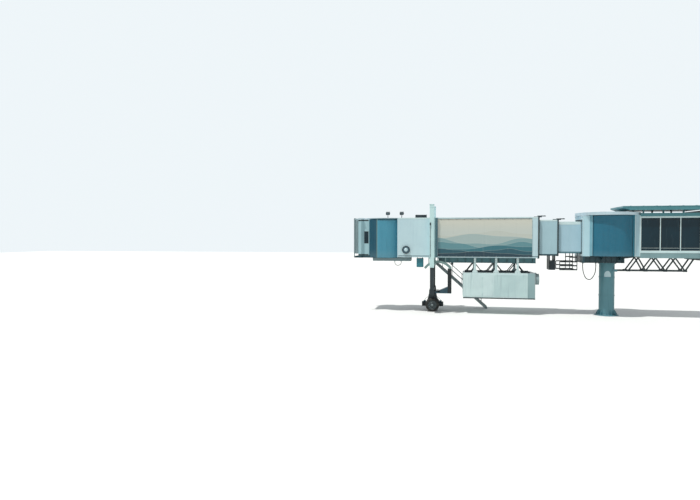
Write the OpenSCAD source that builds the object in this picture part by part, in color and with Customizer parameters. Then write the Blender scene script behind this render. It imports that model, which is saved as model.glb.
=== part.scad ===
// Apron-drive jet bridge: fixed corridor, rotunda on a column, three telescoping tunnels,
// wheeled lift column, swinging cab with a folding canopy, service stair and hung air unit.
// The origin is the centre of the underside of the rotunda column's base flange.

/* [Rotunda] */
// Outside diameter of the rotunda column
column_d = 1100; // [900:50:1300]
// Wall of the column tube
column_wall = 20; // [12:2:40]
// Diameter of the base flange
flange_d = 1700; // [1600:50:2000]
// Thickness of the base flange
flange_t = 60; // [40:5:100]
// Diameter of the anchor bolt circle
bolt_pcd = 1480; // [1400:10:1520]
// Diameter of one anchor bolt hole
bolt_hole_d = 42; // [30:2:50]
// Walking level of the rotunda above the ground
walk_level = 4870; // [4400:10:5200]
// Radius of the slatted curtains
curtain_r = 2050; // [1950:10:2150]
// Height of the rotunda from its underside to the roof disc
rotunda_height = 3060; // [2900:10:3300]
// Thickness of the roof disc at its rim
roof_disc_t = 200; // [100:10:260]
// Overhang of the roof disc beyond the curtains
roof_overhang = 250; // [150:10:300]
// Depth of the turntable girders
girder_depth = 500; // [400:10:560]

/* [Corridor] */
// Length of one corridor bay
bay_length = 1350; // [1100:10:1600]
// Outside half width of the corridor and the vestibule
corridor_half = 1400; // [1370:5:1420]
// Height of the corridor ceiling above the walking level
corridor_height = 2630; // [2500:10:2640]
// Depth of the beams under the corridor deck
corridor_beam_depth = 370; // [300:10:420]
// Height of the roof plate over the corridor
corridor_roof_t = 240; // [160:10:280]
// Thickness of the canopy over the corridor
corridor_canopy_t = 300; // [200:10:400]

/* [Tunnels] */
// Outside width of the inner tunnel
a_width = 2100; // [2000:10:2160]
// Outside height of the inner tunnel
a_height = 2410; // [2300:10:2500]
// Thickness of the tunnel walls and roofs
wall_t = 60; // [40:5:80]
// Floor thickness of the inner tunnel
a_floor_t = 120; // [100:5:140]
// Floor thickness of the middle tunnel
b_floor_t = 130; // [100:5:150]
// Floor thickness of the outer tunnel
c_floor_t = 140; // [110:5:160]
// Side gap between the inner and the middle tunnel
gap_ab = 110; // [90:5:130]
// Side gap between the middle and the outer tunnel
gap_bc = 120; // [100:5:140]
// Gap over the inner tunnel's roof
top_gap_ab = 80; // [60:5:110]
// Gap over the middle tunnel's roof
top_gap_bc = 160; // [100:5:180]
// Gap under the inner tunnel's floor
floor_gap_ab = 60; // [40:5:70]
// Gap under the middle tunnel's floor
floor_gap_bc = 50; // [40:5:70]
// Distance of the slope hinge from the rotunda axis
hinge_x = 1800; // [1760:10:1840]
// Length of the inner tunnel
a_length = 10850; // [10600:10:11000]
// Rear end of the middle tunnel at rest
b_start = 3830; // [3700:10:4000]
// Length of the middle tunnel
b_length = 10070; // [9900:10:10200]
// Width of one wall panel
panel_w = 1180; // [900:20:1400]
// Rear end of the outer tunnel at rest
c_start = 5240; // [5100:10:5300]

/* [Lift and wheels] */
// Distance of the lift columns from the rotunda axis
lift_x = 13200; // [13100:10:13300]
// Side of one square outer column
lift_tube = 340; // [300:10:360]
// Side of one square ram
ram_side = 280; // [240:10:290]
// Height of the top of the outer columns
lift_top = 8500; // [8000:10:8800]
// Height of the underside of the outer columns
lift_bottom = 3600; // [3400:10:3700]
// Height of the top of the cross beam
beam_top = 1850; // [1750:10:1950]
// Depth of the cross beam
beam_depth = 400; // [300:10:450]
// Outside radius of the cable arch beside the lift
arch_r = 1300; // [1200:20:1340]
// Radius of a drive wheel
wheel_r = 550; // [450:10:580]
// Width of a drive wheel
wheel_w = 380; // [300:10:420]
// Distance from the bogie axis to the middle of a wheel
wheel_y = 560; // [520:10:600]

/* [Cab] */
// Distance of the cab axis from the rotunda axis
cab_x = 17100; // [17000:10:17200]
// Radius of the cab curtains
cab_r = 1500; // [1460:10:1540]
// Half angle of the openings between the cab curtains
cab_half_angle = 40; // [36:1:42]
// Distance of the cab front from the cab axis
cab_front = 2000; // [1900:10:2200]
// Half width of the cab behind its flare
cab_half = 1090; // [1040:5:1100]
// Half width of the cab front
cab_wide_half = 1300; // [1200:10:1350]
// Depth of the folded canopy
canopy_depth = 360; // [300:10:450]

/* [Air unit and stair] */
// Length of the hung air unit
unit_length = 5400; // [5000:10:5500]
// Width of the hung air unit
unit_width = 2000; // [1600:10:2200]
// Height of the hung air unit
unit_height = 1950; // [1700:10:2000]
// Height of the underside of the hung air unit
unit_bottom = 1250; // [1100:10:1300]
// Clear width of the stair
stair_width = 700; // [600:10:760]
// Horizontal run of the stair
stair_run = 4800; // [4500:50:5000]
// Number of treads in the flight
treads = 19; // [17:1:21]
// Length of the landing
landing_length = 1000; // [900:10:1050]

/* [Hidden] */

$fn = 72;
// Running clearance of a slide, pin or bearing
fit = 0.3;
// Clearance between pieces that pass each other
clear = 5;

// Levels
rotunda_base = walk_level - 325;
rotunda_top = rotunda_base + rotunda_height;
a_base = walk_level - a_floor_t;
a_top = a_base + a_height;
b_deck = a_base - floor_gap_ab;
b_base = b_deck - b_floor_t;
b_top = a_top + top_gap_ab + wall_t;
c_deck = b_base - floor_gap_bc;
c_base = c_deck - c_floor_t;
c_top = b_top + top_gap_bc + wall_t;

// Half widths
a_half = a_width / 2;
b_half = a_half + gap_ab + wall_t;
c_half = b_half + gap_bc + wall_t;

// Ends of the tunnels
a_start = hinge_x - 50;
a_end = a_start + a_length;
b_end = b_start + b_length;
bulkhead_t = 80;
curtain_t = 20;
cab_post_x = (cab_r + curtain_t) * cos(cab_half_angle);
c_front = cab_x - cab_post_x;
c_end = c_front - bulkhead_t;

// A block between two corners
module block(x0, x1, y0, y1, z0, z1) {
    translate([x0, y0, z0]) cube([x1 - x0, y1 - y0, z1 - z0]);
}

// The children and their mirror image across the long axis
module both_sides() {
    children();
    mirror([0, 1, 0]) children();
}

// A wedge of a disc between two angles, wide enough for any curtain
module wedge(a0, a1, z0, z1) {
    reach = 6000;
    steps = 6;
    rim = [for (k = [0:steps]) let (a = a0 + (a1 - a0) * k / steps) reach * [cos(a), sin(a)]];
    translate([0, 0, z0]) linear_extrude(z1 - z0) polygon(concat([[0, 0]], rim));
}

// A ring standing on z0
module ring(r_out, r_in, z0, z1) {
    difference() {
        translate([0, 0, z0]) cylinder(r = r_out, h = z1 - z0);
        translate([0, 0, z0 - 1]) cylinder(r = r_in, h = z1 - z0 + 2);
    }
}

// A plate cut to a polygon in the XZ plane, between two Y values
module side_plate(points, y0, y1) {
    translate([0, y1, 0]) rotate([90, 0, 0]) linear_extrude(y1 - y0) polygon(points);
}

// A straight bar of square section between two points in the XZ plane
module brace(x0, z0, x1, z1, side, y0, y1) {
    run = sqrt(pow(x1 - x0, 2) + pow(z1 - z0, 2));
    nx = -(z1 - z0) / run * side / 2;
    nz = (x1 - x0) / run * side / 2;
    side_plate([[x0 + nx, z0 + nz], [x0 - nx, z0 - nz], [x1 - nx, z1 - nz], [x1 + nx, z1 + nz]],
        y0, y1);
}

// Vertical seams between the panels of a near side wall whose outer face is at y
module panel_seams(x0, x1, y, z0, z1) {
    seam_w = 10;
    seam_d = 6;
    count = round((x1 - x0) / panel_w);
    for (k = [1:count - 1]) let (x = x0 + (x1 - x0) * k / count)
        block(x - seam_w / 2, x + seam_w / 2, y - seam_d, y + 1, z0 - 1, z1 + 1);
}

// A tube swept along a route of points that hangs straight down from both ends, in a
// vertical plane at the given y
module swept_tube(route, y, d) {
    sides = 8;
    n = len(route);
    dirs = [for (k = [0:n - 1]) let (v = k == 0 ? [0, -1] : k == n - 1 ? [0, 1] :
        route[k + 1] - route[k - 1]) v / norm(v)];
    points = [for (k = [0:n - 1]) for (j = [0:sides - 1]) let (a = 360 * j / sides)
        [route[k][0] - dirs[k][1] * cos(a) * d / 2, y + sin(a) * d / 2,
            route[k][1] + dirs[k][0] * cos(a) * d / 2]];
    skin = [for (k = [0:n - 2]) for (j = [0:sides - 1])
        [k * sides + j, k * sides + (j + 1) % sides, (k + 1) * sides + (j + 1) % sides,
            (k + 1) * sides + j]];
    ends = [[for (j = [sides - 1:-1:0]) j], [for (j = [0:sides - 1]) (n - 1) * sides + j]];
    polyhedron(points, concat(skin, ends), convexity = 6);
}

// Points of a smooth curve through a list of points, with the given steps between each pair
function curve(p, steps) = concat([for (k = [0:len(p) - 2]) for (j = [0:steps - 1])
    let (t = j / steps, a = p[max(k - 1, 0)], b = p[k], c = p[k + 1], d = p[min(k + 2, len(p) - 1)])
    b + 0.5 * t * (c - a + t * (2 * a - 5 * b + 4 * c - d + t * (3 * (b - c) + d - a)))],
    [p[len(p) - 1]]);

// Cable loops that hang free from two glands each, as points of x and z in a vertical plane
gland_h = 40;
gland_rim = 50;
rotunda_cable_d = 60;
rotunda_cable_y = 1090;
rotunda_cable_points = [[1050, 4000], [1050, 3700], [1110, 3250], [1320, 2880], [1520, 2790],
    [1740, 2900], [1910, 3280], [1970, 3700], [1970, 4000]];
cab_cable_d = 40;
cab_cable_y = 680;
cab_cable_points = [[15700, 4005], [15700, 3900], [15770, 3760], [15960, 3690], [16140, 3760],
    [16210, 3900], [16210, 4005]];

// Column
column_r = column_d / 2;
girder_top = rotunda_base - clear;
girder_base = girder_top - girder_depth;
bearing_r = column_r + 100;
bolt_count = 12;

// Truss under the corridor
chord_z = 3450;
truss_bar = 90;
truss_y = 400;
truss_foot_x = column_r + 60;

module column_base() {
    gusset_h = 360;
    color("#5f7f84") difference() {
        union() {
            cylinder(d = flange_d, h = flange_t);
            for (k = [0:bolt_count - 1]) rotate(15 + k * 360 / bolt_count)
                side_plate([[column_r - 30, flange_t], [bolt_pcd / 2 + 20, flange_t],
                    [bolt_pcd / 2 + 20, flange_t + 40], [column_r + 40, flange_t + gusset_h],
                    [column_r - 30, flange_t + gusset_h]], -12, 12);
        }
        for (k = [0:bolt_count - 1]) rotate(k * 360 / bolt_count)
            translate([bolt_pcd / 2, 0, -1]) cylinder(d = bolt_hole_d, h = flange_t + 2);
        translate([0, 0, flange_t]) cylinder(r = column_r, h = gusset_h + 1);
    }
}

module column() {
    thrust_t = 80;
    band_levels = [1500, 2900];
    color("#5b8a90") difference() {
        union() {
            translate([0, 0, flange_t]) cylinder(r = column_r, h = rotunda_base - flange_t);
            translate([0, 0, girder_base - fit - thrust_t]) cylinder(r = bearing_r, h = thrust_t);
            for (z = band_levels) translate([0, 0, z]) cylinder(r = column_r + 25, h = 60);
            both_sides() block(-truss_foot_x, -column_r / 2, truss_y - 20, truss_y + truss_bar + 20,
                chord_z - truss_bar, chord_z + truss_bar);
        }
        translate([0, 0, flange_t + column_wall])
            cylinder(r = column_r - column_wall, h = rotunda_base - flange_t - 2 * column_wall);
    }
}

// Rotunda
opening_half_angle = asin((corridor_half - 30) / curtain_r);
inner_floor_r = 1500;
outer_floor_r = curtain_r - 50;
roof_r = curtain_r + roof_overhang;

module rotunda_floor() {
    pocket_h = walk_level - rotunda_base - 60;
    color("#44585c") difference() {
        translate([0, 0, rotunda_base]) cylinder(r = inner_floor_r, h = walk_level - rotunda_base);
        difference() {
            ring(inner_floor_r - 20, column_r, rotunda_base - 1, rotunda_base + pocket_h);
            for (a = [0:45:135]) rotate(a)
                block(-inner_floor_r, inner_floor_r, -10, 10, rotunda_base - 2, walk_level);
        }
    }
}

module rotunda_roof() {
    skin = 60;
    rise = 80;
    gutter = 40;
    hollow_r = curtain_r - 150;
    color("#cfdfe2") translate([0, 0, rotunda_top]) rotate_extrude()
        polygon([[0, roof_disc_t - skin], [hollow_r, roof_disc_t - skin], [hollow_r, 0], [roof_r, 0],
            [roof_r, roof_disc_t], [roof_r - gutter, roof_disc_t],
            [roof_r - gutter, roof_disc_t - gutter / 2], [roof_r - 2 * gutter, roof_disc_t - gutter / 2],
            [roof_r - 2 * gutter, roof_disc_t], [300, roof_disc_t + rise], [0, roof_disc_t + rise]]);
}

module rotunda_curtains() {
    color("#2d7a8c") both_sides() intersection() {
        ring(curtain_r + curtain_t, curtain_r, rotunda_base + 15, rotunda_top);
        wedge(opening_half_angle, 180 - opening_half_angle, 0, rotunda_top + 100);
    }
}

// Portal between the corridor and the rotunda
post_x = curtain_r * cos(opening_half_angle);
portal_x = post_x + 400;
portal_door_top = rotunda_top - 350;
inner_half = corridor_half - wall_t;

module portal() {
    color("#c3d8dd") difference() {
        union() {
            both_sides()
                block(-portal_x, -post_x, inner_half, corridor_half, rotunda_base, rotunda_top);
            block(-portal_x, -portal_x + 120, -inner_half, inner_half, portal_door_top, rotunda_top);
        }
        translate([0, 0, rotunda_base - 1]) cylinder(r = curtain_r + curtain_t, h = rotunda_height + 2);
    }
}

// Fixed corridor
bays = 3;
corridor_end = portal_x + bays * bay_length;
deck_t = 70;
beam_base = walk_level - deck_t - corridor_beam_depth;
corridor_ceiling = walk_level + corridor_height;
edge_beam = 120;
mullion = 60;
glass_t = 20;
sill_h = 120;

// Distance from the rotunda axis of the frame and of the joist at the end of bay k
function frame_x(k) = portal_x + k * bay_length;
function joist_x(k) = k == 0 ? outer_floor_r + 80 : k == bays ? frame_x(k) - 60 : frame_x(k);

module corridor_floor() {
    color("#a9bfc4") {
        difference() {
            block(-corridor_end, -post_x, -inner_half, inner_half, walk_level - deck_t, walk_level);
            translate([0, 0, walk_level - deck_t - 1])
                cylinder(r = outer_floor_r + clear, h = deck_t + 2);
        }
        both_sides() block(-corridor_end, -portal_x, corridor_half - edge_beam, corridor_half,
            beam_base, walk_level - deck_t);
        for (k = [0:bays]) let (x = -joist_x(k)) block(x - 60, x + 60,
            edge_beam - corridor_half, corridor_half - edge_beam, beam_base, walk_level - deck_t);
    }
}

module corridor_roof() {
    eave = 50;
    canopy_gap = 210;
    canopy_half = corridor_half + 300;
    canopy_reach = 650;
    canopy_taper = 500;
    canopy_edge = corridor_canopy_t - 120;
    color("#8fa9ad") {
        difference() {
            block(-corridor_end, -portal_x, -corridor_half - eave, corridor_half + eave,
                corridor_ceiling, corridor_ceiling + corridor_roof_t);
            translate([0, 0, rotunda_top - fit]) cylinder(r = roof_r + fit, h = roof_disc_t);
        }
        both_sides() for (k = [0:bays - 1])
            block(-frame_x(k) - 300, -frame_x(k) - 200, inner_half - 200, inner_half - 100,
                corridor_ceiling + corridor_roof_t,
                corridor_ceiling + corridor_roof_t + canopy_gap);
        translate([0, canopy_half, corridor_ceiling + corridor_roof_t + canopy_gap])
            rotate([90, 0, 0]) linear_extrude(2 * canopy_half)
                polygon([[-corridor_end, 0], [-canopy_reach - canopy_taper, 0],
                    [-canopy_reach, canopy_edge], [-canopy_reach, corridor_canopy_t],
                    [-corridor_end, corridor_canopy_t]]);
    }
}

module corridor_frames() {
    base = walk_level - deck_t;
    color("#dfe8ea") both_sides() {
        block(-corridor_end, -portal_x, inner_half, corridor_half, base, walk_level + sill_h);
        block(-corridor_end, -portal_x, inner_half, corridor_half,
            corridor_ceiling - sill_h, corridor_ceiling);
        for (k = [0:bays]) let (x = -frame_x(k) + (k == 0 ? -mullion : k == bays ? 0 : -mullion / 2))
            block(x, x + mullion, inner_half, corridor_half, base, corridor_ceiling);
    }
}

module corridor_glass() {
    glass_y = inner_half + (wall_t - glass_t) / 2;
    color("#15303a") both_sides() for (k = [0:bays - 1])
        block(-frame_x(k + 1) + (k == bays - 1 ? mullion : mullion / 2),
            -frame_x(k) - (k == 0 ? mullion : mullion / 2),
            glass_y, glass_y + glass_t, walk_level + sill_h, corridor_ceiling - sill_h);
}

module corridor_truss() {
    bar = truss_bar;
    first_node = 1400;
    color("#2f4f55") difference() {
        both_sides() {
            block(-frame_x(bays) + bay_length / 2, -truss_foot_x, truss_y, truss_y + bar,
                chord_z - bar / 2, chord_z + bar / 2);
            brace(-first_node, chord_z, -joist_x(0), beam_base, bar, truss_y, truss_y + bar);
            for (k = [0:bays - 1]) {
                low_x = frame_x(k) + bay_length / 2;
                brace(-low_x, chord_z, -joist_x(k), beam_base, bar, truss_y, truss_y + bar);
                brace(-low_x, chord_z, -joist_x(k + 1), beam_base, bar, truss_y, truss_y + bar);
            }
        }
        block(-corridor_end - 200, 200, -corridor_half, corridor_half, beam_base, beam_base + 200);
        block(-corridor_end - 400, -corridor_end, -corridor_half, corridor_half, 0, beam_base + 1);
    }
}

module corridor_flange() {
    flange = 60;
    lip = 150;
    color("#8fa9ad") difference() {
        block(-corridor_end - flange, -corridor_end, -corridor_half - lip, corridor_half + lip,
            beam_base - lip, corridor_ceiling + corridor_roof_t + lip);
        block(-corridor_end - flange - 1, -corridor_end + 1, -inner_half, inner_half,
            walk_level, corridor_ceiling);
    }
}

// Turntable round the column head
hinge_z = a_base + a_floor_t / 2;
pin_d = 90;
turntable_front = hinge_x + 250;
girder_y = 1000;
girder_w = 180;
lug_t = 60;
lug_gap = 40;
lug_y = a_half + lug_gap;

// An I-beam along X, with its near face at y0
module i_beam(x0, x1, y0, width, z0, z1) {
    web = 24;
    flange = 30;
    block(x0, x1, y0, y0 + width, z0, z0 + flange);
    block(x0, x1, y0, y0 + width, z1 - flange, z1);
    block(x0, x1, y0 + (width - web) / 2, y0 + (width + web) / 2, z0, z1);
}

module turntable() {
    rear = 950;
    cross_w = 140;
    outrigger_x = [-600, 700];
    outrigger_tip = 1750;
    outrigger_t = 40;
    color("#2f5a62") difference() {
        union() {
            translate([0, 0, girder_base]) cylinder(r = bearing_r, h = girder_depth);
            for (x = [column_r + 10, -column_r - 10 - cross_w])
                block(x, x + cross_w, -girder_y - 40, girder_y + 40, girder_base, girder_top);
            block(-rear, -rear + 100, -girder_y - 40, girder_y + 40, girder_base, girder_top);
            block(turntable_front - 150, turntable_front, -corridor_half, corridor_half,
                girder_base, girder_top);
            both_sides() {
                i_beam(-rear, turntable_front - 100, girder_y, girder_w, girder_base, girder_top);
                for (x = outrigger_x) translate([x, 0, 0]) rotate(90)
                    side_plate([[girder_y + girder_w / 2, girder_top - 300],
                        [outrigger_tip, girder_top - 100], [outrigger_tip, girder_top],
                        [girder_y + girder_w / 2, girder_top]], -outrigger_t / 2, outrigger_t / 2);
                side_plate([[-rear + 50, girder_top - 200], [-outrigger_tip, girder_top - 100],
                    [-outrigger_tip, girder_top], [-rear + 50, girder_top]], 600, 600 + outrigger_t);
                hinge_lug();
            }
            for (p = [rotunda_cable_points[0], rotunda_cable_points[len(rotunda_cable_points) - 1]])
                translate([p[0], rotunda_cable_y, girder_base - gland_h])
                    cylinder(d = rotunda_cable_d + gland_rim, h = gland_h + 1);
        }
        translate([0, 0, girder_base - 1]) cylinder(r = column_r + fit, h = girder_depth + 2);
    }
}

// One upright lug that holds a slope pin
module hinge_lug() {
    lug_r = 90;
    difference() {
        union() {
            block(hinge_x - lug_r, hinge_x + lug_r, lug_y, lug_y + lug_t, girder_top - 30, hinge_z);
            translate([hinge_x, lug_y + lug_t, hinge_z]) rotate([90, 0, 0]) cylinder(r = lug_r, h = lug_t);
        }
        translate([hinge_x, lug_y + lug_t + 1, hinge_z]) rotate([90, 0, 0])
            cylinder(d = pin_d + 2 * fit, h = lug_t + 2);
    }
}

module turntable_floor() {
    skin = 20;
    plate = 60;
    cut_x = hinge_x - 70;
    cut_half = a_half + 20;
    color("#52666a") difference() {
        union() {
            difference() {
                ring(outer_floor_r, inner_floor_r + clear, girder_top, walk_level);
                difference() {
                    ring(outer_floor_r - skin, inner_floor_r + clear + skin,
                        girder_top - 1, walk_level - plate);
                    for (a = [0:30:150]) rotate(a)
                        block(-outer_floor_r, outer_floor_r, -skin / 2, skin / 2,
                            girder_top - 2, walk_level);
                }
            }
            block(cut_x - skin, cut_x, -cut_half, cut_half, girder_top, walk_level);
        }
        block(cut_x, outer_floor_r + 1, -cut_half, cut_half, girder_top - 1, walk_level + 1);
    }
}

// Vestibule
vestibule_top = rotunda_top - clear;
vestibule_roof_t = 60;
front_t = 40;

module vestibule_walls() {
    color("#c3d8dd") difference() {
        both_sides() block(post_x, turntable_front - front_t, inner_half, corridor_half,
            girder_top, vestibule_top - vestibule_roof_t);
        translate([0, 0, girder_top - 1])
            cylinder(r = curtain_r + curtain_t + clear, h = rotunda_height);
    }
}

module vestibule_front() {
    side_gap = 15;
    top_room = 70;
    bottom_room = 50;
    color("#b4ccd2") difference() {
        block(turntable_front - front_t, turntable_front, -corridor_half, corridor_half,
            girder_top, vestibule_top - vestibule_roof_t);
        block(turntable_front - front_t - 1, turntable_front + 1, -a_half - side_gap,
            a_half + side_gap, a_base - bottom_room, a_top + top_room);
    }
}

module vestibule_roof() {
    drip = 30;
    drip_h = 90;
    color("#cfdfe2") {
        block(post_x + 60, turntable_front + drip, -corridor_half, corridor_half,
            vestibule_top - vestibule_roof_t, vestibule_top);
        block(turntable_front, turntable_front + drip, -corridor_half, corridor_half,
            vestibule_top - drip_h, vestibule_top - vestibule_roof_t + 1);
    }
}

// Thickness of a tunnel's deck plate
plate_t = 40;

// Width of a tunnel floor's edge channels
floor_edge = 60;

// A tunnel floor: deck plate, two edge channels and cross ribs below
module tunnel_floor(x0, x1, half, deck, depth) {
    rib = 30;
    pitch = 1200;
    count = floor((x1 - x0) / pitch);
    block(x0, x1, -half, half, deck - plate_t, deck);
    both_sides() block(x0, x1, half - floor_edge, half, deck - depth, deck);
    for (k = [0:count]) let (x = x0 + (x1 - x0 - rib) * k / count)
        block(x, x + rib, -half, half, deck - depth, deck);
}

// A tunnel roof with a shallow crown, over walls of the given half width
module tunnel_roof(x0, x1, half, top) {
    crown = 30;
    translate([x0, 0, 0]) rotate([90, 0, 90]) linear_extrude(x1 - x0)
        polygon([[-half, top - wall_t], [half, top - wall_t], [half, top - crown],
            [0, top], [-half, top - crown]]);
}

// A ramp down from the front of one tunnel's deck to the next deck
module ramp(x0, half, deck, next_deck) {
    ramp_l = 400;
    side_plate([[x0, deck], [x0 + ramp_l, next_deck + 2 * clear], [x0 + ramp_l, next_deck + clear],
        [x0 + 60, next_deck + clear], [x0, next_deck + 4 * clear]], -half, half);
}

// Slide pads under the front of a tunnel floor, standing on the next deck
module front_pads(x1, half, base, next_deck) {
    pad_l = 260;
    pad_w = 160;
    both_sides() block(x1 - 200 - pad_l, x1 - 200, half - 60 - pad_w, half - 60,
        next_deck + fit, base);
}

// A frame round the smaller tunnel at the rear of the larger one, with slide pads and a roof arm
module end_frame(x, half, base, top, small_half, small_base, small_top) {
    frame_t = 100;
    proud = 30;
    gap = 15;
    pad_w = 200;
    pad_h = 300;
    arm_l = 600;
    arm_w = 120;
    arm_h = 70;
    difference() {
        block(x - frame_t, x, -half - proud, half + proud, base - proud, top + proud);
        block(x - frame_t - 1, x + 1, -small_half - gap, small_half + gap,
            small_base - gap, small_top + gap);
    }
    both_sides() {
        block(x - frame_t, x, small_half - 60 - pad_w, small_half - 60,
            small_base - gap - 1, small_base - fit);
        block(x - frame_t, x, small_half + fit, small_half + gap + 1,
            small_base + 400, small_base + 400 + pad_h);
        block(x - arm_l, x, small_half - 200 - arm_w, small_half - 200, top + proud, top + proud + arm_h);
    }
}

// Inner tunnel
module a_floor() {
    color("#8a999c") {
        tunnel_floor(a_start, a_end, a_half, walk_level, a_floor_t);
        front_pads(a_end, a_half, a_base, b_deck);
        ramp(a_end, a_half - 200, walk_level, b_deck);
        both_sides() translate([hinge_x, lug_y + lug_t + 20, hinge_z]) rotate([90, 0, 0])
            cylinder(d = pin_d, h = lug_gap + lug_t + 60);
    }
}

module a_walls() {
    color("#bccfd5") both_sides() difference() {
        block(a_start, a_end, a_half - wall_t, a_half, walk_level, a_top - wall_t);
        panel_seams(a_start, a_end, a_half, walk_level, a_top - wall_t);
    }
}

module a_roof() {
    color("#c8d9de") tunnel_roof(a_start, a_end, a_half, a_top);
}

module cable_rack() {
    rack_x0 = 2300;
    rack_x1 = 2880;
    rack_end = 3600;
    bar = 50;
    rack_y = a_half - 250;
    levels = [3450, 3750, 4050, 4400];
    color("#22363b") both_sides() {
        for (x = [rack_x0, rack_x1 - bar])
            block(x, x + bar, rack_y, rack_y + bar, levels[0], walk_level - plate_t);
        for (z = levels) block(rack_x0, z < levels[3] ? rack_end : rack_x1, rack_y, rack_y + bar, z, z + bar);
        block(rack_end - bar, rack_end, rack_y, rack_y + bar, levels[0], levels[2] + bar);
    }
    color("#22363b") for (z = levels)
        block(rack_x0, rack_x0 + bar, -rack_y, rack_y, z, z + bar);
}

// Middle tunnel
module b_floor() {
    color("#8a999c") {
        tunnel_floor(b_start, b_end, b_half, b_deck, b_floor_t);
        front_pads(b_end, b_half, b_base, c_deck);
        ramp(b_end, b_half - 200, b_deck, c_deck);
    }
}

module b_walls() {
    color("#bccfd5") both_sides() difference() {
        block(b_start, b_end, b_half - wall_t, b_half, b_deck, b_top - wall_t);
        panel_seams(b_start, b_end, b_half, b_deck, b_top - wall_t);
    }
}

module b_roof() {
    color("#c8d9de") tunnel_roof(b_start, b_end, b_half, b_top);
}

module b_end_frame() {
    color("#2b4147") end_frame(b_start, b_half, b_base, b_top, a_half, a_base, a_top);
}

module b_cable_box() {
    box_l = 450;
    box_half = 600;
    box_base = 3450;
    color("#22363b") difference() {
        block(b_start + 20, b_start + 20 + box_l, -box_half, box_half, box_base, b_base);
        block(b_start + 80, b_start + box_l - 40, -box_half - 1, box_half + 1, box_base + 700, b_base + 1);
    }
}

// Outer tunnel
bracket_x0 = lift_x - lift_tube / 2 - 250;
door_x0 = lift_x + lift_tube / 2 + 480;
door_w = 800;
door_h = 2050;

module c_floor() {
    color("#7f9094") difference() {
        tunnel_floor(c_start, c_end, c_half, c_deck, c_floor_t);
        translate([cab_x, 0, c_base - 1]) cylinder(r = cab_r, h = c_floor_t + 2);
    }
}

module c_wall_near() {
    color("#cfe0e4") difference() {
        block(c_start, c_end, c_half - wall_t, c_half, c_deck, c_top - wall_t);
        panel_seams(c_start, c_end, c_half, c_deck, c_top - wall_t);
    }
}

module c_wall_far() {
    color("#cfe0e4") difference() {
        block(c_start, c_end, -c_half, wall_t - c_half, c_deck, c_top - wall_t);
        block(door_x0, door_x0 + door_w, -c_half - 1, wall_t - c_half + 1, c_deck - 1, c_deck + door_h);
        mirror([0, 1, 0]) panel_seams(c_start, c_end, c_half, c_deck, c_top - wall_t);
    }
}

// The outer tunnel's roof plate and the round hood over the cab
module c_roof_plate() {
    hood_r = cab_r + 60;
    tunnel_roof(c_start, c_front, c_half, c_top);
    translate([cab_x, 0, c_top - wall_t]) cylinder(r = hood_r, h = wall_t - 10);
}

module c_roof() {
    ribs = 8;
    rib_w = 60;
    rib_h = 25;
    color("#d5e4e8") {
        c_roof_plate();
        for (k = [1:ribs]) let (x = c_start + (c_end - c_start) * k / (ribs + 1)) both_sides()
            translate([x, 0, 0]) rotate([90, 0, 90]) linear_extrude(rib_w)
                polygon([[0, c_top - 5], [c_half, c_top - 35], [c_half, c_top + rib_h - 30],
                    [0, c_top + rib_h]]);
    }
}

module c_end_frame() {
    color("#2b4147") end_frame(c_start, c_half, c_base, c_top, b_half, b_base, b_top);
}

module c_bulkhead() {
    door_half = cab_r * sin(cab_half_angle) - 60;
    header = 350;
    color("#c3d8dd") difference() {
        block(c_end, c_front, -c_half, c_half, c_base, c_top - wall_t);
        block(c_end - 1, c_front + 1, -door_half, door_half, c_deck, c_top - wall_t - header);
        translate([cab_x, 0, c_base - 1]) cylinder(r = cab_r, h = c_top - c_base);
    }
}

// Display board on the near wall, between two rails
board_x0 = c_start + 430;
board_x1 = bracket_x0 - 30;
board_t = 40;

module art_board() {
    edge = 50;
    margin = 90;
    color("#2c5a62") difference() {
        block(board_x0, board_x1, c_half, c_half + board_t,
            c_base + margin, c_top - wall_t - margin);
        block(board_x0 + edge, board_x1 - edge, c_half + board_t - 10,
            c_half + board_t + 1, c_base + margin + edge, c_top - wall_t - margin - edge);
    }
}

module service_door() {
    leaf_t = 45;
    gap = 4;
    handle_z = c_deck + 1020;
    color("#8fa9ad") {
        block(door_x0 + gap, door_x0 + door_w - gap, -c_half + 5, -c_half + 5 + leaf_t,
            c_deck, c_deck + door_h - gap);
        block(door_x0 + 70, door_x0 + 100, -c_half - 40, -c_half + 6, handle_z, handle_z + 160);
    }
}

// Landing outside the service door
landing_x0 = door_x0 - 100;
lift_y = c_half + 110 + lift_tube / 2;
landing_t = 60;
landing_top = c_deck - 20;
rail_h = 1050;
rail_d = 40;
stair_y0 = lift_y + lift_tube / 2 + 90;
stair_y1 = stair_y0 + stair_width;
landing_y = stair_y1 + 90;
stair_pin_x = landing_x0 - 90;
stair_pin_z = landing_top - 110;
stair_pin_d = 50;
stringer_t = 40;

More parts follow.
